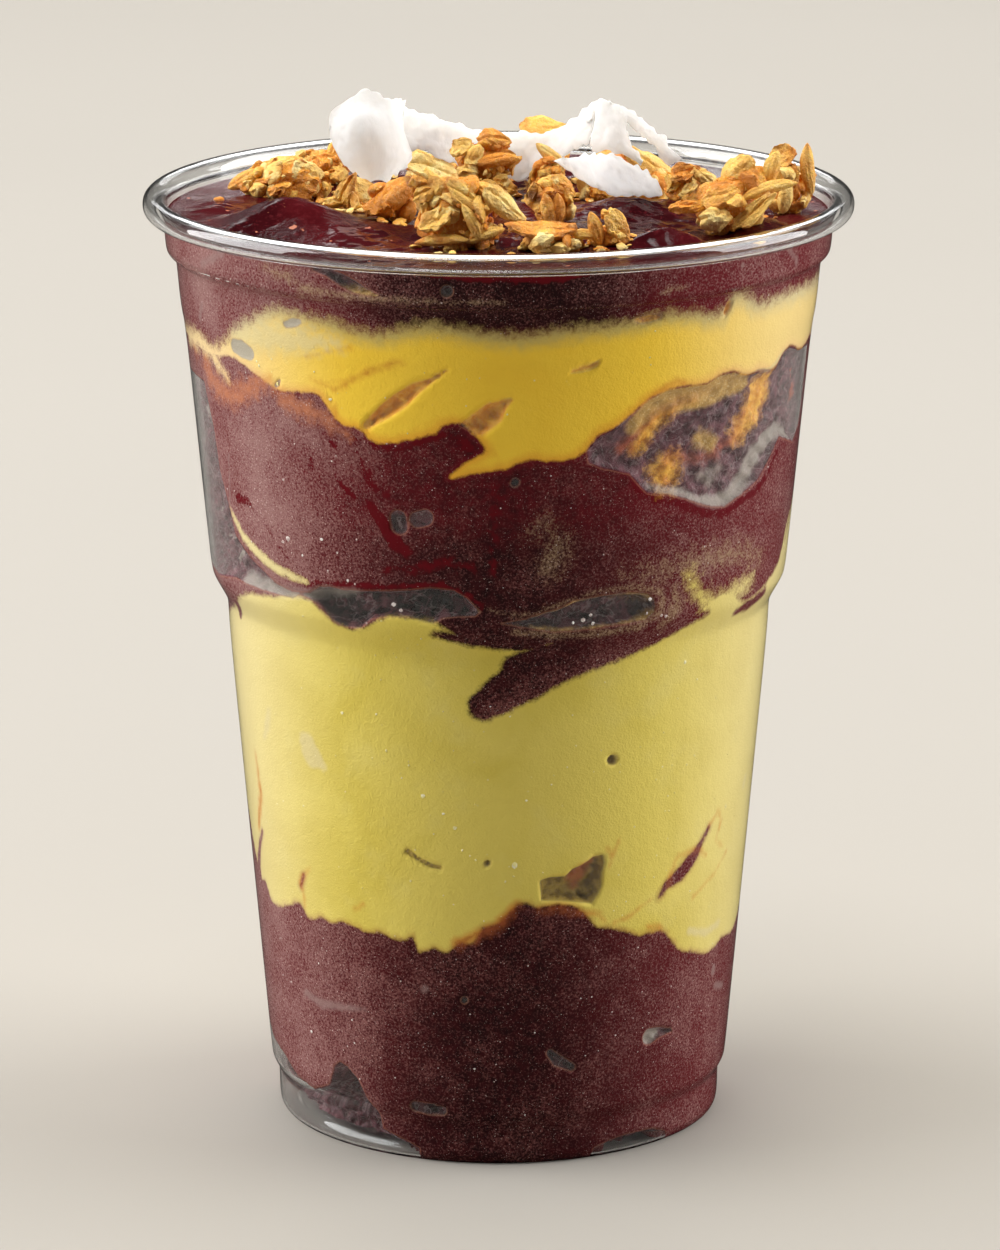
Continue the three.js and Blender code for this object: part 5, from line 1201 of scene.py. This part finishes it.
# Loose pieces: number, distance from a core's middle in its half widths, lengths, and reach on the acai
LOOSE_PIECES = 150
LOOSE_SPREAD = (1.0, 1.8)
LOOSE_LENGTHS = (0.6, 2.2)
LOOSE_REACH = 40
CLUSTERS = [
    ("granola_left", (-28.6, 11.2), (0, 1, 1.4, 6.2, 4, 3), [
        (SEED, -5.6, 0.2, 2.2, 5.2, 2.2, 28, 50), (OAT, 0, 0.6, 4.2, 4.8, 3.2, 10, 50),
        (CRUMB, -3.4, -1.6, 1.2, 3, 2.6, 0, 0), (CRUMB, -0.8, -2.6, 1.3, 3.2, 2.4, 20, 0),
        (OAT, 2.8, -0.8, 3.2, 4.4, 3.6, -25, 60)]),
    ("granola_back_left", (-24.2, 22.6), (0, 0, 2, 3.6, 3.2, 3), [
        (OAT, 0.2, -1, 3.6, 4.4, 3.4, 15, 50), (SEED, 2, -0.4, 5, 5, 2.2, 62, 60),
        (CRUMB, 2.2, -1.8, 1.6, 3.4, 3, 0, 0), (OAT, -2.4, -1, 2.6, 3.8, 2.6, 40, 60)]),
    ("granola_wedge", (-19.2, 0.6), (0.1, 0.6, 1.2, 2.2, 2, 1.8), [
        (OAT, -1.2, -0.6, 2.6, 5.6, 2.4, 61, 70), (OAT, 1.3, -0.2, 2.4, 4.6, 3.4, -38, 62),
        (CRUMB, -3, 0, 0.9, 3.2, 2, 0, 0)]),
    ("granola_glazed", (-13.7, -6.7), (-0.4, 0.4, 2.2, 3.2, 2, 2.2), [
        (SEED, -0.4, -0.4, 3.3, 7.6, 4, 38, 40), (CRUMB, -2.7, -1, 1.8, 3, 2.8, 0, 0),
        (CRUMB, 1.5, 0, 4.5, 3, 2.6, 0, 0)]),
    ("granola_front", (-4.3, -25.1), (-0.9, 2.6, 3.6, 5.4, 3.6, 4.8), [
        (CRUMB, -3.8, 2.6, 7.6, 6.4, 5, -30, 0),
        (OAT, -4.1, 3, 10, 7, 3.2, -19, 55), (OAT, -5.4, 1.2, 7.2, 3.4, 2.6, 30, 65),
        (CRUMB, -6.2, 2, 8.6, 2.4, 2.4, 0, 0), (OAT, 0.1, 0, 7, 6.6, 3, -37, 60),
        (OAT, 5, 1, 5.7, 6.4, 3.2, -40, 55), (CRUMB, 1.7, 2.2, 7.4, 4.4, 3, -30, 0),
        (OAT, -3.6, -0.2, 3.9, 4.8, 3, 28, 55), (SEED, -3, -0.4, 1.4, 7, 1.8, 3, 20),
        (SEED, 1, -0.8, 3.7, 5.4, 1.6, -64, 80), (SEED, 2.6, -0.4, 2.1, 5.2, 1.7, 20, 40)]),
    ("granola_centre", (-2.1, 11.8), (0.4, 0.6, 3.6, 3.6, 2.8, 4.6), [
        (OAT, 1.7, 0.2, 8.2, 4.6, 3, -14, 50), (OAT, -3, 0, 7, 3.6, 2.6, 20, 55),
        (SEED, -1.4, -1, 6, 3.8, 2, 62, 70), (SEED, 1.8, -1.6, 5.6, 5.8, 2, 8, 50),
        (CRUMB, 4.1, -0.4, 5.3, 2.6, 2.2, 0, 0), (CRUMB, 0.9, -2.4, 2.2, 2.6, 2.4, 0, 0),
        (OAT, 3, -1.6, 1.9, 3.8, 2.8, -30, 55), (CRUMB, -2.2, -1.4, 3.8, 3, 2.6, 0, 0)]),
    ("granola_long_seed", (6, -27.9), (1.2, 0.4, 1.1, 3.8, 1.8, 1.6), [
        (OAT, -0.4, 0, 2.9, 9.2, 3.4, -4, 32), (SEED, 5.1, 0.2, 2.4, 3.6, 1.5, -3, 40),
        (CRUMB, -0.6, -1.2, 0.9, 3, 2, 0, 0), (CRUMB, 1.8, -1.4, 0.8, 3, 1.8, 0, 0),
        (CRUMB, 3.6, -0.6, 1.2, 2.6, 1.8, 0, 0)]),
    ("granola_front_right", (14.4, -27.2), (-0.3, 0.6, 1, 2, 1.5, 1.4), [
        (SEED, -1.8, -0.4, 2.2, 4.6, 1.9, -74, 85), (OAT, 0.9, 0, 2.3, 5.2, 3, -58, 65),
        (CRUMB, -0.5, 0.4, 4.1, 1.8, 1.6, 0, 0)]),
    ("granola_lobed", (6.8, -9.9), (0.2, 1, 2.6, 2.6, 2, 3.4), [
        (OAT, -1.8, 0, 3.9, 4.8, 3, 82, 75), (OAT, 1.7, 0.6, 5, 4, 2.8, -42, 60),
        (SEED, -0.2, -1.2, 2.2, 4.8, 2, -75, 85), (SEED, 1.1, -1, 2.2, 4.6, 1.8, 85, 85),
        (CRUMB, 0.3, 0.8, 5.8, 2.2, 2, 0, 0)]),
    ("granola_under_curl", (13.6, 9.4), (0, 0, 1.8, 2.6, 2.2, 2.4), [(OAT, 0.4, 0, 3.6, 4, 2.8, 15, 30)]),
    ("granola_leaning_seed", (7, 10.4), (-0.2, 0, 2.2, 2.4, 2.2, 3), [
        (SEED, 0.2, 0.6, 5.6, 5.4, 1.8, -38, 60), (CRUMB, -0.6, -1.2, 3.6, 2.6, 2.2, 0, 0)]),
    ("granola_behind_front", (-7, -3), (0, 0, 1.6, 3, 2.6, 2.4), [
        (OAT, 1.4, 0, 3.2, 5, 3.2, 25, 40), (CRUMB, -2.4, 0.6, 1.6, 3, 2.6, 0, 0)]),
    ("granola_far_left", (-9.5, 27), (0, 0, 1.4, 3.4, 2.6, 2.2), [
        (OAT, -0.6, 0.4, 3, 5, 3.4, -20, 30), (SEED, 2.2, -0.6, 1.6, 5, 1.9, 20, 30)]),
    ("granola_far", (1.5, 34), (0, 0, 1.2, 3, 2.6, 2), [
        (OAT, 0.8, 0.4, 2.4, 4.6, 3.4, 18, 25), (CRUMB, -2.2, 0, 1.4, 2.8, 2.4, 0, 0)]),
    ("granola_far_right", (16.5, 25.5), (0, 0, 1.4, 3, 2.4, 2.2), [
        (OAT, -0.8, 0, 2.8, 4.8, 3.2, -30, 35), (SEED, 1.8, 0.4, 1.8, 4.6, 1.8, 40, 30)]),
    ("granola_back", (6.6, 24.4), (0, 0.6, 3, 3, 2.4, 3.6), [
        (OAT, 0, 0.2, 7, 7.2, 4, -6, 40), (OAT, -1.8, -0.6, 4.6, 4, 2.8, 40, 60)]),
    ("granola_slanting", (20.4, 11), (0.6, 0.4, 1.6, 3, 2.4, 2.2), [
        (OAT, 0.2, 0.6, 4.8, 8.2, 3.2, -32, 50), (SEED, 1.4, -1.6, 2, 4, 1.9, -60, 70),
        (CRUMB, 3.2, -0.4, 2, 2.8, 2.2, 0, 0)]),
    ("granola_middle_right", (25.7, 4.3), (-0.4, 0.6, 1.8, 2.8, 2.2, 2.2), [
        (OAT, -0.6, 0, 4.4, 4, 2.8, 15, 55), (OAT, 1.8, -0.4, 3.9, 4, 2.4, -28, 60),
        (CRUMB, -2.4, 0, 3.4, 2.8, 2.6, 0, 0), (OAT, 0, -1.2, 1.8, 3.8, 3, 70, 65)]),
    ("granola_right", (29.6, -17.4), (0.6, 1.8, 3.2, 4.6, 3, 4), [
        (CRUMB, 3.6, 1.6, 6.8, 5, 4, 0, 0),
        (OAT, 1.9, 1.6, 8.2, 4.8, 4, 50, 70), (SEED, 6.1, 1.8, 8.5, 4.8, 2.2, 74, 70),
        (SEED, 5.6, 0, 6.2, 7.6, 1.8, 17, 50), (OAT, 3.8, -1, 3, 7.8, 2.6, 40, 55),
        (OAT, -0.6, -0.6, 5.4, 5.4, 3.6, 20, 55), (OAT, -4.8, 0, 3.7, 5.2, 2.2, 3, 35),
        (CRUMB, -1.4, -1.4, 2.3, 5.4, 3.4, 0, 0), (CRUMB, 1.6, -1.6, 4.6, 2.4, 2.2, 0, 0)]),
    ("granola_back_right", (38.6, 0.6), (0, 0.8, 3, 2.9, 2.4, 3.6), [
        (OAT, -0.6, 0.4, 7.6, 3.6, 3.2, 30, 60), (SEED, 2.6, -0.2, 6, 6.8, 2, -84, 80),
        (OAT, 0, -0.8, 5, 4, 3, 70, 65), (SEED, -0.4, -1.6, 2.4, 4.4, 2, 80, 80),
        (OAT, -2, -0.4, 4.6, 3.8, 2.2, 60, 65)]),
]


def chipped(points, draw, count, low=0.62, high=0.95):
    """The ball with flat chips off it, which leave crisp edges."""
    for _ in range(count):
        out = np.array(Vector((draw.gauss(0, 1), draw.gauss(0, 1), draw.gauss(0, 1))).normalized())
        over = points @ out - draw.uniform(low, high)
        points = points - np.clip(over, 0, None)[:, None] * out
    return points


def oat_shape(detail, length, width, thickness, draw):
    """A rolled oat: flat, chipped and ragged, creased along its middle and slightly cupped."""
    ball, faces = BALLS[detail]
    x, y, z = chipped(ball, draw, 5).T
    seed = draw.random() * 90
    ragged = 1 + 0.2 * rough(ball * [1, 1, 0.4], 1.7, seed) + 0.12 * rough(ball, 4.3, seed + 9)
    flat = np.sign(z) * np.abs(z) ** 0.7
    crease = np.exp(-((y + 0.12 * np.sin(2.4 * x + seed)) / 0.1) ** 2) * (1 - x * x)
    height = thickness / 2 * (flat + 0.35 * rough(ball, 2.6, seed + 21) + 0.2 * rough(ball, 6.5, seed + 40))
    height -= thickness * draw.uniform(0.05, 0.4) * crease * np.sign(z + 0.2)
    height += width * draw.uniform(-0.22, 0.22) * y * y + length * draw.uniform(-0.12, 0.12) * x * x
    taper = 1 - draw.uniform(0, 0.3) * x
    shape = np.stack([x * length / 2 * ragged, y * width / 2 * ragged * taper, height], 1)
    return shape, faces, np.hypot(x, y) ** 3


def seed_shape(detail, length, width, thickness, draw):
    """A plump seed with pointed ends and a shallow seam."""
    ball, faces = BALLS[detail]
    x, y, z = ball.T
    seed = draw.random() * 90
    spindle = (1 - np.abs(x) ** 2.2) ** 0.18
    seam = 1 - 0.16 * np.exp(-((y - 0.1 * np.sin(2 * x)) / 0.14) ** 2) * (z > 0)
    bump = 1 + 0.12 * rough(ball, 2.4, seed) + 0.07 * rough(ball, 6, seed + 5)
    bend = draw.uniform(-0.08, 0.08) * length * x * x
    tall = z * thickness / 2 * spindle * seam * bump
    shape = np.stack([x * length / 2 * 1.04, y * width / 2 * spindle * bump + bend, tall], 1)
    return shape, faces, np.abs(x) ** 6


def crumb_shape(detail, length, width, thickness, draw):
    """A broken crumb, part knobbly and part chipped flat."""
    ball, faces = BALLS[detail]
    seed = draw.random() * 90
    knobs = 1 + 0.34 * rough(ball, 1.5, seed) + 0.22 * rough(ball, 3.6, seed + 4)
    shape = chipped(ball * knobs[:, None], draw, 7, 0.5, 0.9) * [length / 2, width / 2, thickness / 2]
    # The third value is higher in the crumb's dents, where the granola material browns it as painted shade
    return shape, faces, np.clip(0.5 - 1.6 * (knobs - 1), 0, 1)


SHAPES = {OAT: oat_shape, SEED: seed_shape, CRUMB: crumb_shape}


def thickness_of(kind, width):
    return OAT_THICKNESS if kind == OAT else ROUNDNESS[kind] * width


def set_piece(heap, origin, piece):
    """A planned piece of a cluster."""
    kind, right, back, up, length, width, rise, face = piece
    draw = heap.random
    shape, faces, edge = SHAPES[kind](4, length, width, thickness_of(kind, width), draw)
    turn = Matrix.Rotation(-math.radians(rise), 3, "Y") @ Matrix.Rotation(math.radians(face), 3, "X")
    heap.add(shape, faces, turn, origin + [right, back, up], draw.uniform(0.1, 0.75), edge)


def leaning(draw, normal, most):
    """A turn that sets a piece's flat side along a surface, give or take a lean in degrees."""
    base = Vector(normal).to_track_quat("Z", "X").to_matrix()
    spin = Matrix.Rotation(draw.uniform(0, 2 * math.pi), 3, "Z")
    lean = Matrix.Rotation(math.radians(draw.uniform(-most, most)), 3, "X")
    return base @ lean @ spin


def cover(heap, origin, core, kinds, count, sizes, detail):
    """Small broken pieces stuck all over a cluster's core."""
    draw = heap.random
    middle = origin + core[:3]
    half = np.array(core[3:])
    for _ in range(count):
        out = Vector((draw.gauss(0, 1), draw.gauss(0, 1), draw.gauss(0.25, 1))).normalized()
        place = middle + np.array(out) * half * draw.uniform(0.8, 1.04)
        kind = draw.choice(kinds)
        length = draw.uniform(*sizes)
        width = length * draw.uniform(0.5, 0.8)
        thick = SMALL_OAT_THICKNESS if kind == OAT else thickness_of(kind, width)
        shape, faces, edge = SHAPES[kind](detail, length, width, thick, draw)
        heap.add(shape, faces, leaning(draw, out, 50), place, draw.uniform(0, 1), edge)


def granola_cluster(name, at, core, pieces, material):
    x, y = at
    origin = np.array([x, y, float(acai_top(x, y))])
    heap = Heap(name)
    sizes = [2 * half * CORE_SHARE for half in core[3:]]
    shape, faces, edge = crumb_shape(4, *sizes, heap.random)
    heap.add(shape, faces, Matrix.Identity(3), origin + core[:3], CORE_TONE, edge)
    for piece in pieces:
        set_piece(heap, origin, piece)
    size = core[3] * core[4] + core[4] * core[5] + core[5] * core[3]
    for kinds, density, lengths, detail in COVERS:
        cover(heap, origin, core, kinds, round(density * size), lengths, detail)
    return put_in(heap.object(name), material, "granola", name)


def granola_material(name, dark):
    """Toasted oats: pale to brown from piece to piece, browner at the edges, with painted shade in the dents
    of crumbs and a honey gloss.
    """
    shader = Shader(name)
    patch = shader.noise(420, 3, 0.6)
    grain = shader.noise(2600, 3, 0.65)
    tone = shader.add(shader.attribute("tone"), shader.times(patch, 1.3), dark)
    colour = shader.tint((255, 234, 160), (255, 204, 98), tone, 0.35, 1.05)
    colour = shader.tint(colour, (232, 146, 40), tone, 0.9, 1.5)
    # Browner oat and seed edges, and painted shade in the dents of crumbs
    browned_edges_and_painted_shade = shader.times(shader.attribute("edge"), shader.step(patch, 0.4, 0.7, 0, 0.7))
    colour = shader.mix(browned_edges_and_painted_shade, colour, (150, 76, 18))
    colour = shader.tint(colour, (160, 88, 26), grain, 0.55, 0.8, 0.5)
    colour = shader.mix(shader.step(grain, 0.44, 0.3, 0, 0.4), colour, (252, 226, 160))
    colour = shader.tint(colour, (92, 38, 12), shader.noise(150, 2, 0.5), 0.66, 0.74, 0.8)
    shader.set(Base_Color=colour, Roughness=shader.step(patch, 0.4, 0.65, 0.24, 0.5))
    crust = shader.add(grain, shader.times(patch, 0.8), shader.times(shader.noise(6000, 2, 0.6), 0.4))
    shader.bump(crust, 0.0005, 0.75)
    return shader.material


def loose_granola(material):
    """Crumbs and small oats that have fallen beside the clusters."""
    heap = Heap("loose")
    draw = heap.random
    for _ in range(LOOSE_PIECES):
        _, (x, y), core, _ = draw.choice(CLUSTERS)
        turn = draw.uniform(0, 2 * math.pi)
        reach = draw.uniform(*LOOSE_SPREAD)
        x += core[3] * reach * math.cos(turn)
        y += core[4] * reach * math.sin(turn)
        kind = draw.choice((CRUMB, CRUMB, OAT))
        length = draw.uniform(*LOOSE_LENGTHS)
        thick = 0.35 * length
        shape, faces, edge = SHAPES[kind](2, length, 0.75 * length, thick, draw)
        if math.hypot(x, y) < LOOSE_REACH:
            place = (x, y, top_height(x, y) + 0.3 * thick)
            heap.add(shape, faces, leaning(draw, (0, 0, 1), 25), place, draw.uniform(0, 1), edge)
    put_in(heap.object("loose_granola"), material, "granola")


def make_granola():
    plain = granola_material("granola", 0.0)
    loose_granola(plain)
    glazed = granola_material("glazed_granola", 0.55)
    for name, at, core, pieces in CLUSTERS:
        granola_cluster(name, at, core, pieces, glazed if name == "granola_glazed" else plain)


# ------------------------------------------------------------------- coconut
# Grids of points that each shaving's middle surface passes through, as in the CAD
SHAVINGS = {
    "coconut_petal": [
        [
            [(-21.2, 5, 130), (-19, 4, 128.2), (-16, 4, 126.9), (-11.4, 9, 128.7)],
            [(-22.5, 6, 132.4), (-19.2, 2.5, 131.8), (-15.2, 3, 131.4), (-12.2, 10, 131.2)],
            [(-22.5, 8, 135.7), (-19.2, 3, 135.7), (-15.2, 4, 134.9), (-13, 11, 134.1)],
            [(-20, 10, 137.3), (-17.8, 8, 139), (-14.8, 9, 137.9), (-12.7, 12, 136.7)],
        ],
    ],
    "coconut_ribbon": [
        [
            [(-13, 15, 129.3), (-9, 16, 128.7), (-3.9, 18, 126.2), (2.8, 19, 124.6), (6.2, 18, 126.9),
             (9.3, 16, 128.6), (12.2, 14, 130.7)],
            [(-13, 16.5, 132.2), (-9, 17.6, 131.8), (-3.4, 19.6, 129.6), (2.8, 20.6, 128.2),
             (6.4, 19.8, 129.5), (9.5, 17.8, 131.2), (12.8, 14.8, 133.7)],
            [(-12.8, 16, 135.2), (-9.3, 17, 134.3), (-3.2, 19, 131.9), (2.8, 20, 131.3),
             (6.5, 20, 131.6), (9.6, 18, 133.6), (13.3, 14.4, 136.7)],
        ],
    ],
    "coconut_curl": [
        [
            [(12.7, 13.4, 130.6), (12.6, 11.6, 130.7), (13.4, 9.8, 130.2), (14.5, 9, 130.4),
             (16.3, 8, 130), (19, 7, 128.7)],
            [(13.1, 14, 133.7), (13.6, 11, 134), (14.9, 9.6, 133.4), (15.6, 8.8, 132.6),
             (16.9, 7.8, 131.2), (19.3, 7, 129.3)],
            [(13.2, 13.8, 136.8), (13.6, 11.6, 137), (15.6, 10.8, 136.6), (16.6, 9.8, 134.8),
             (17.4, 9, 132.3), (19.7, 8, 129.9)],
        ],
        [
            [(15.6, 10.4, 135.2), (18.3, 12.2, 133.5), (19.8, 13.8, 131.4), (21.6, 14.6, 129.4),
             (23.2, 14.4, 127.6)],
            [(14.8, 10.8, 136.9), (18.3, 12.6, 135), (20.6, 14.2, 133.3), (23.2, 15, 130),
             (24.4, 14.6, 128.2)],
        ],
    ],
    "coconut_flake": [
        [
            [(7.2, -8, 132.1), (9.7, -8, 130.5), (12.4, -7, 128.5), (15.6, -5, 126.9),
             (18.8, -3, 126.4), (21.7, -1, 126.3)],
            [(8.4, -7, 132.4), (11.5, -5, 131.1), (14.1, -3, 129.5), (16.8, -2, 128.5),
             (19.1, -1, 127.9), (21.4, -0.4, 126.9)],
            [(9.5, -6, 132.3), (11.7, -4, 132.4), (14.5, 0, 132.2), (16.5, 1, 131.4), (18.9, 1, 129.3),
             (21.1, 0.6, 127.6)],
        ],
    ],
}
SHEET_STEPS = (84, 42)
SHAVING_EDGE = 0.16
SHAVING_MIDDLE = 0.62
# Share of a shaving's half width that is ragged, and its slow and quick waves, out of plane and at the rim
RAGGED_SHARE = 0.35
PLANE_WAVES = (0.5, 0.2)
RIM_WAVES = (0.9, 0.8)
RIM_SETBACK = 0.2


def through(points, count):
    """Evenly many points of a smooth curve through each line of points, along the first axis."""
    points = np.asarray(points, float)
    ends = [2 * points[:1] - points[1:2], points, 2 * points[-1:] - points[-2:-1]]
    known = np.concatenate(ends)
    share = np.linspace(0, len(points) - 1, count)
    k = np.minimum(share.astype(int), len(points) - 2)
    t = (share - k).reshape(-1, *[1] * (points.ndim - 1))
    a, b, c, d = (known[k + i] for i in range(4))
    return 0.5 * (2 * b + (c - a) * t + (2 * a - 5 * b + 4 * c - d) * t**2 + (3 * b - a - 3 * c + d) * t**3)


def edge_distance(count):
    """Share of the way from an edge to the middle, for each of a row of points."""
    share = np.linspace(0, 1, count)
    return np.minimum(share, 1 - share) * 2


def shaving_grid(rows, seed):
    """Middle surface, normals and half thickness of a shaving, with wavy ragged edges."""
    long_steps, wide_steps = SHEET_STEPS
    columns = through(np.array(rows), wide_steps)
    grid = through(columns.transpose(1, 0, 2), long_steps).transpose(1, 0, 2)
    along = np.gradient(grid, axis=1)
    across = np.gradient(grid, axis=0)
    normal = np.cross(along, across)
    normal /= np.linalg.norm(normal, axis=-1, keepdims=True)
    across /= np.linalg.norm(across, axis=-1, keepdims=True)
    along /= np.linalg.norm(along, axis=-1, keepdims=True)
    flat = grid.reshape(-1, 3)
    slow = rough(flat, 0.22, seed).reshape(grid.shape[:2])[..., None]
    quick = rough(flat, 0.9, seed + 3).reshape(grid.shape[:2])[..., None]
    v = edge_distance(wide_steps)[:, None]
    u = edge_distance(long_steps)[None, :]
    near = np.minimum(v, u * 2.2)[..., None]
    outer = np.clip(1 - near / RAGGED_SHARE, 0, 1)
    side = np.sign(np.linspace(-1, 1, wide_steps))[:, None, None]
    grid = grid + normal * (PLANE_WAVES[0] * slow + PLANE_WAVES[1] * quick)
    rim_shift = RIM_WAVES[0] * slow + RIM_WAVES[1] * quick - RIM_SETBACK
    grid = grid + across * side * outer * rim_shift
    thick = SHAVING_EDGE + (SHAVING_MIDDLE - SHAVING_EDGE) * smoothstep(0, 0.5, near)
    return grid, normal, thick / 2


def shaving_part(rows, seed, start):
    """One sheet's points, quads and edge values, its points counted from start."""
    grid, normal, half = shaving_grid(rows, seed)
    wide_steps, long_steps = grid.shape[:2]
    points = np.concatenate([(grid + normal * half).reshape(-1, 3), (grid - normal * half).reshape(-1, 3)])
    size = wide_steps * long_steps
    index = np.arange(size).reshape(wide_steps, long_steps) + start
    a, b, c, d = index[:-1, :-1], index[:-1, 1:], index[1:, 1:], index[1:, :-1]
    face = np.stack([a, b, c, d], -1).reshape(-1, 4)
    rim = np.concatenate([index[0, :-1], index[:-1, -1], index[-1, :0:-1], index[:0:-1, 0]])
    nexts = np.roll(rim, -1)
    sides = np.stack([nexts, rim, rim + size, nexts + size], 1)
    faces = np.concatenate([face, face[:, ::-1] + size, sides])
    edge = np.tile(1 - smoothstep(SHAVING_EDGE / 2, SHAVING_MIDDLE / 2, half).reshape(-1), 2)
    return points, faces, edge


def make_coconut():
    material = coconut_material()
    for number, (name, grids) in enumerate(SHAVINGS.items()):
        parts = []
        start = 0
        for rows in grids:
            part = shaving_part(rows, 11 * number + start % 7, start)
            parts.append(part)
            start += len(part[0])
        points, faces, edges = (np.concatenate(column) for column in zip(*parts))
        obj = mesh_object(name, points, faces.tolist())
        set_attribute(obj.data, "edge", edges)
        put_in(obj, material, "coconut", name)


def coconut_material():
    """White coconut flesh, slightly see-through at its thin edges."""
    shader = Shader("coconut")
    cloud = shader.noise(300, 3, 0.55)
    fibre = shader.noise(900, 3, 0.6, place=shader.stretched(1, 1, 0.25))
    colour = shader.tint((252, 252, 251), (242, 243, 242), cloud, 0.4, 0.7)
    colour = shader.mix(shader.times(shader.attribute("edge"), 0.35), colour, (222, 220, 210))
    shader.set(Base_Color=colour, Roughness=shader.step(fibre, 0.3, 0.7, 0.38, 0.6))
    shader.set(Subsurface_Weight=0.8, Subsurface_Scale=0.003, Subsurface_Radius=[1.0, 0.95, 0.85])
    shader.bump(shader.add(fibre, shader.times(cloud, 1.5)), 0.0004, 0.6)
    lit_through = shader.nodes.new("ShaderNodeBsdfTranslucent")
    shader.feed(lit_through.inputs["Color"], (251, 251, 249))
    shader.join(0.6, lit_through.outputs[0])
    return shader.material


# ------------------------------------------------------------------ the setting
CAMERA_AT = (0.0002, -0.8482, 0.2805)
CAMERA_TILT = 75.87
LENS = 185.7


def make_camera():
    data = bpy.data.cameras.new("camera")
    data.lens = LENS
    data.sensor_width = 36
    camera = bpy.data.objects.new("camera", data)
    camera.location = CAMERA_AT
    camera.rotation_euler = (math.radians(CAMERA_TILT), 0, 0)
    bpy.context.collection.objects.link(camera)
    bpy.context.scene.camera = camera


def softbox(name, place, target, width, height, power, mirrored):
    data = bpy.data.lights.new(name, "AREA")
    data.shape = "RECTANGLE"
    data.size = width
    data.size_y = height
    data.energy = power
    light = bpy.data.objects.new(name, data)
    light.location = place
    light.visible_glossy = mirrored
    light.rotation_euler = (Vector(target) - Vector(place)).to_track_quat("-Z", "Y").to_euler()
    bpy.context.collection.objects.link(light)


# Each softbox: place, target, width, height, power and whether mirror images show it
SOFTBOXES = {
    "left box": ((-1.1, 0.06, 0.45), (0, 0, 0.08), 1.0, 1.2, 21, True),
    "right box": ((1.1, 0.08, 0.45), (0, 0, 0.08), 0.9, 1.2, 18, True),
    "top box": ((0, 1.35, 2.2), (0, 1.35, 0), 4.0, 3.2, 106, False),
    "back box": ((0, 1.3, 0.75), (0, 0, 0.13), 0.8, 0.6, 4, False),
    "rear box": ((-0.35, 1.0, 0.95), (0, 0, 0.12), 0.35, 0.35, 1.2, True),
    "key box": ((-0.25, -0.4, 1.6), (0, 0, 0.1), 0.7, 0.7, 12, True),
}
FLOOR = [(-4000, -3000, 0), (4000, -3000, 0), (4000, 5000, 0), (-4000, 5000, 0)]
ROOM_COLOUR = (1.0, 0.97, 0.93, 1)
ROOM_LIGHT = 0.05


def make_setting():
    floor = mesh_object("floor", FLOOR, [(0, 1, 2, 3)])
    floor.data.materials.append(floor_material())
    for name, box in SOFTBOXES.items():
        softbox(name, *box)
    world = bpy.data.worlds.new("studio")
    world.use_nodes = True
    background = world.node_tree.nodes["Background"]
    background.inputs["Color"].default_value = ROOM_COLOUR
    background.inputs["Strength"].default_value = ROOM_LIGHT
    bpy.context.scene.world = world
    bpy.context.scene.view_settings.view_transform = "Standard"


make_camera()
make_setting()
make_layers()
make_cup()
make_grains()
make_coconut()
make_granola()
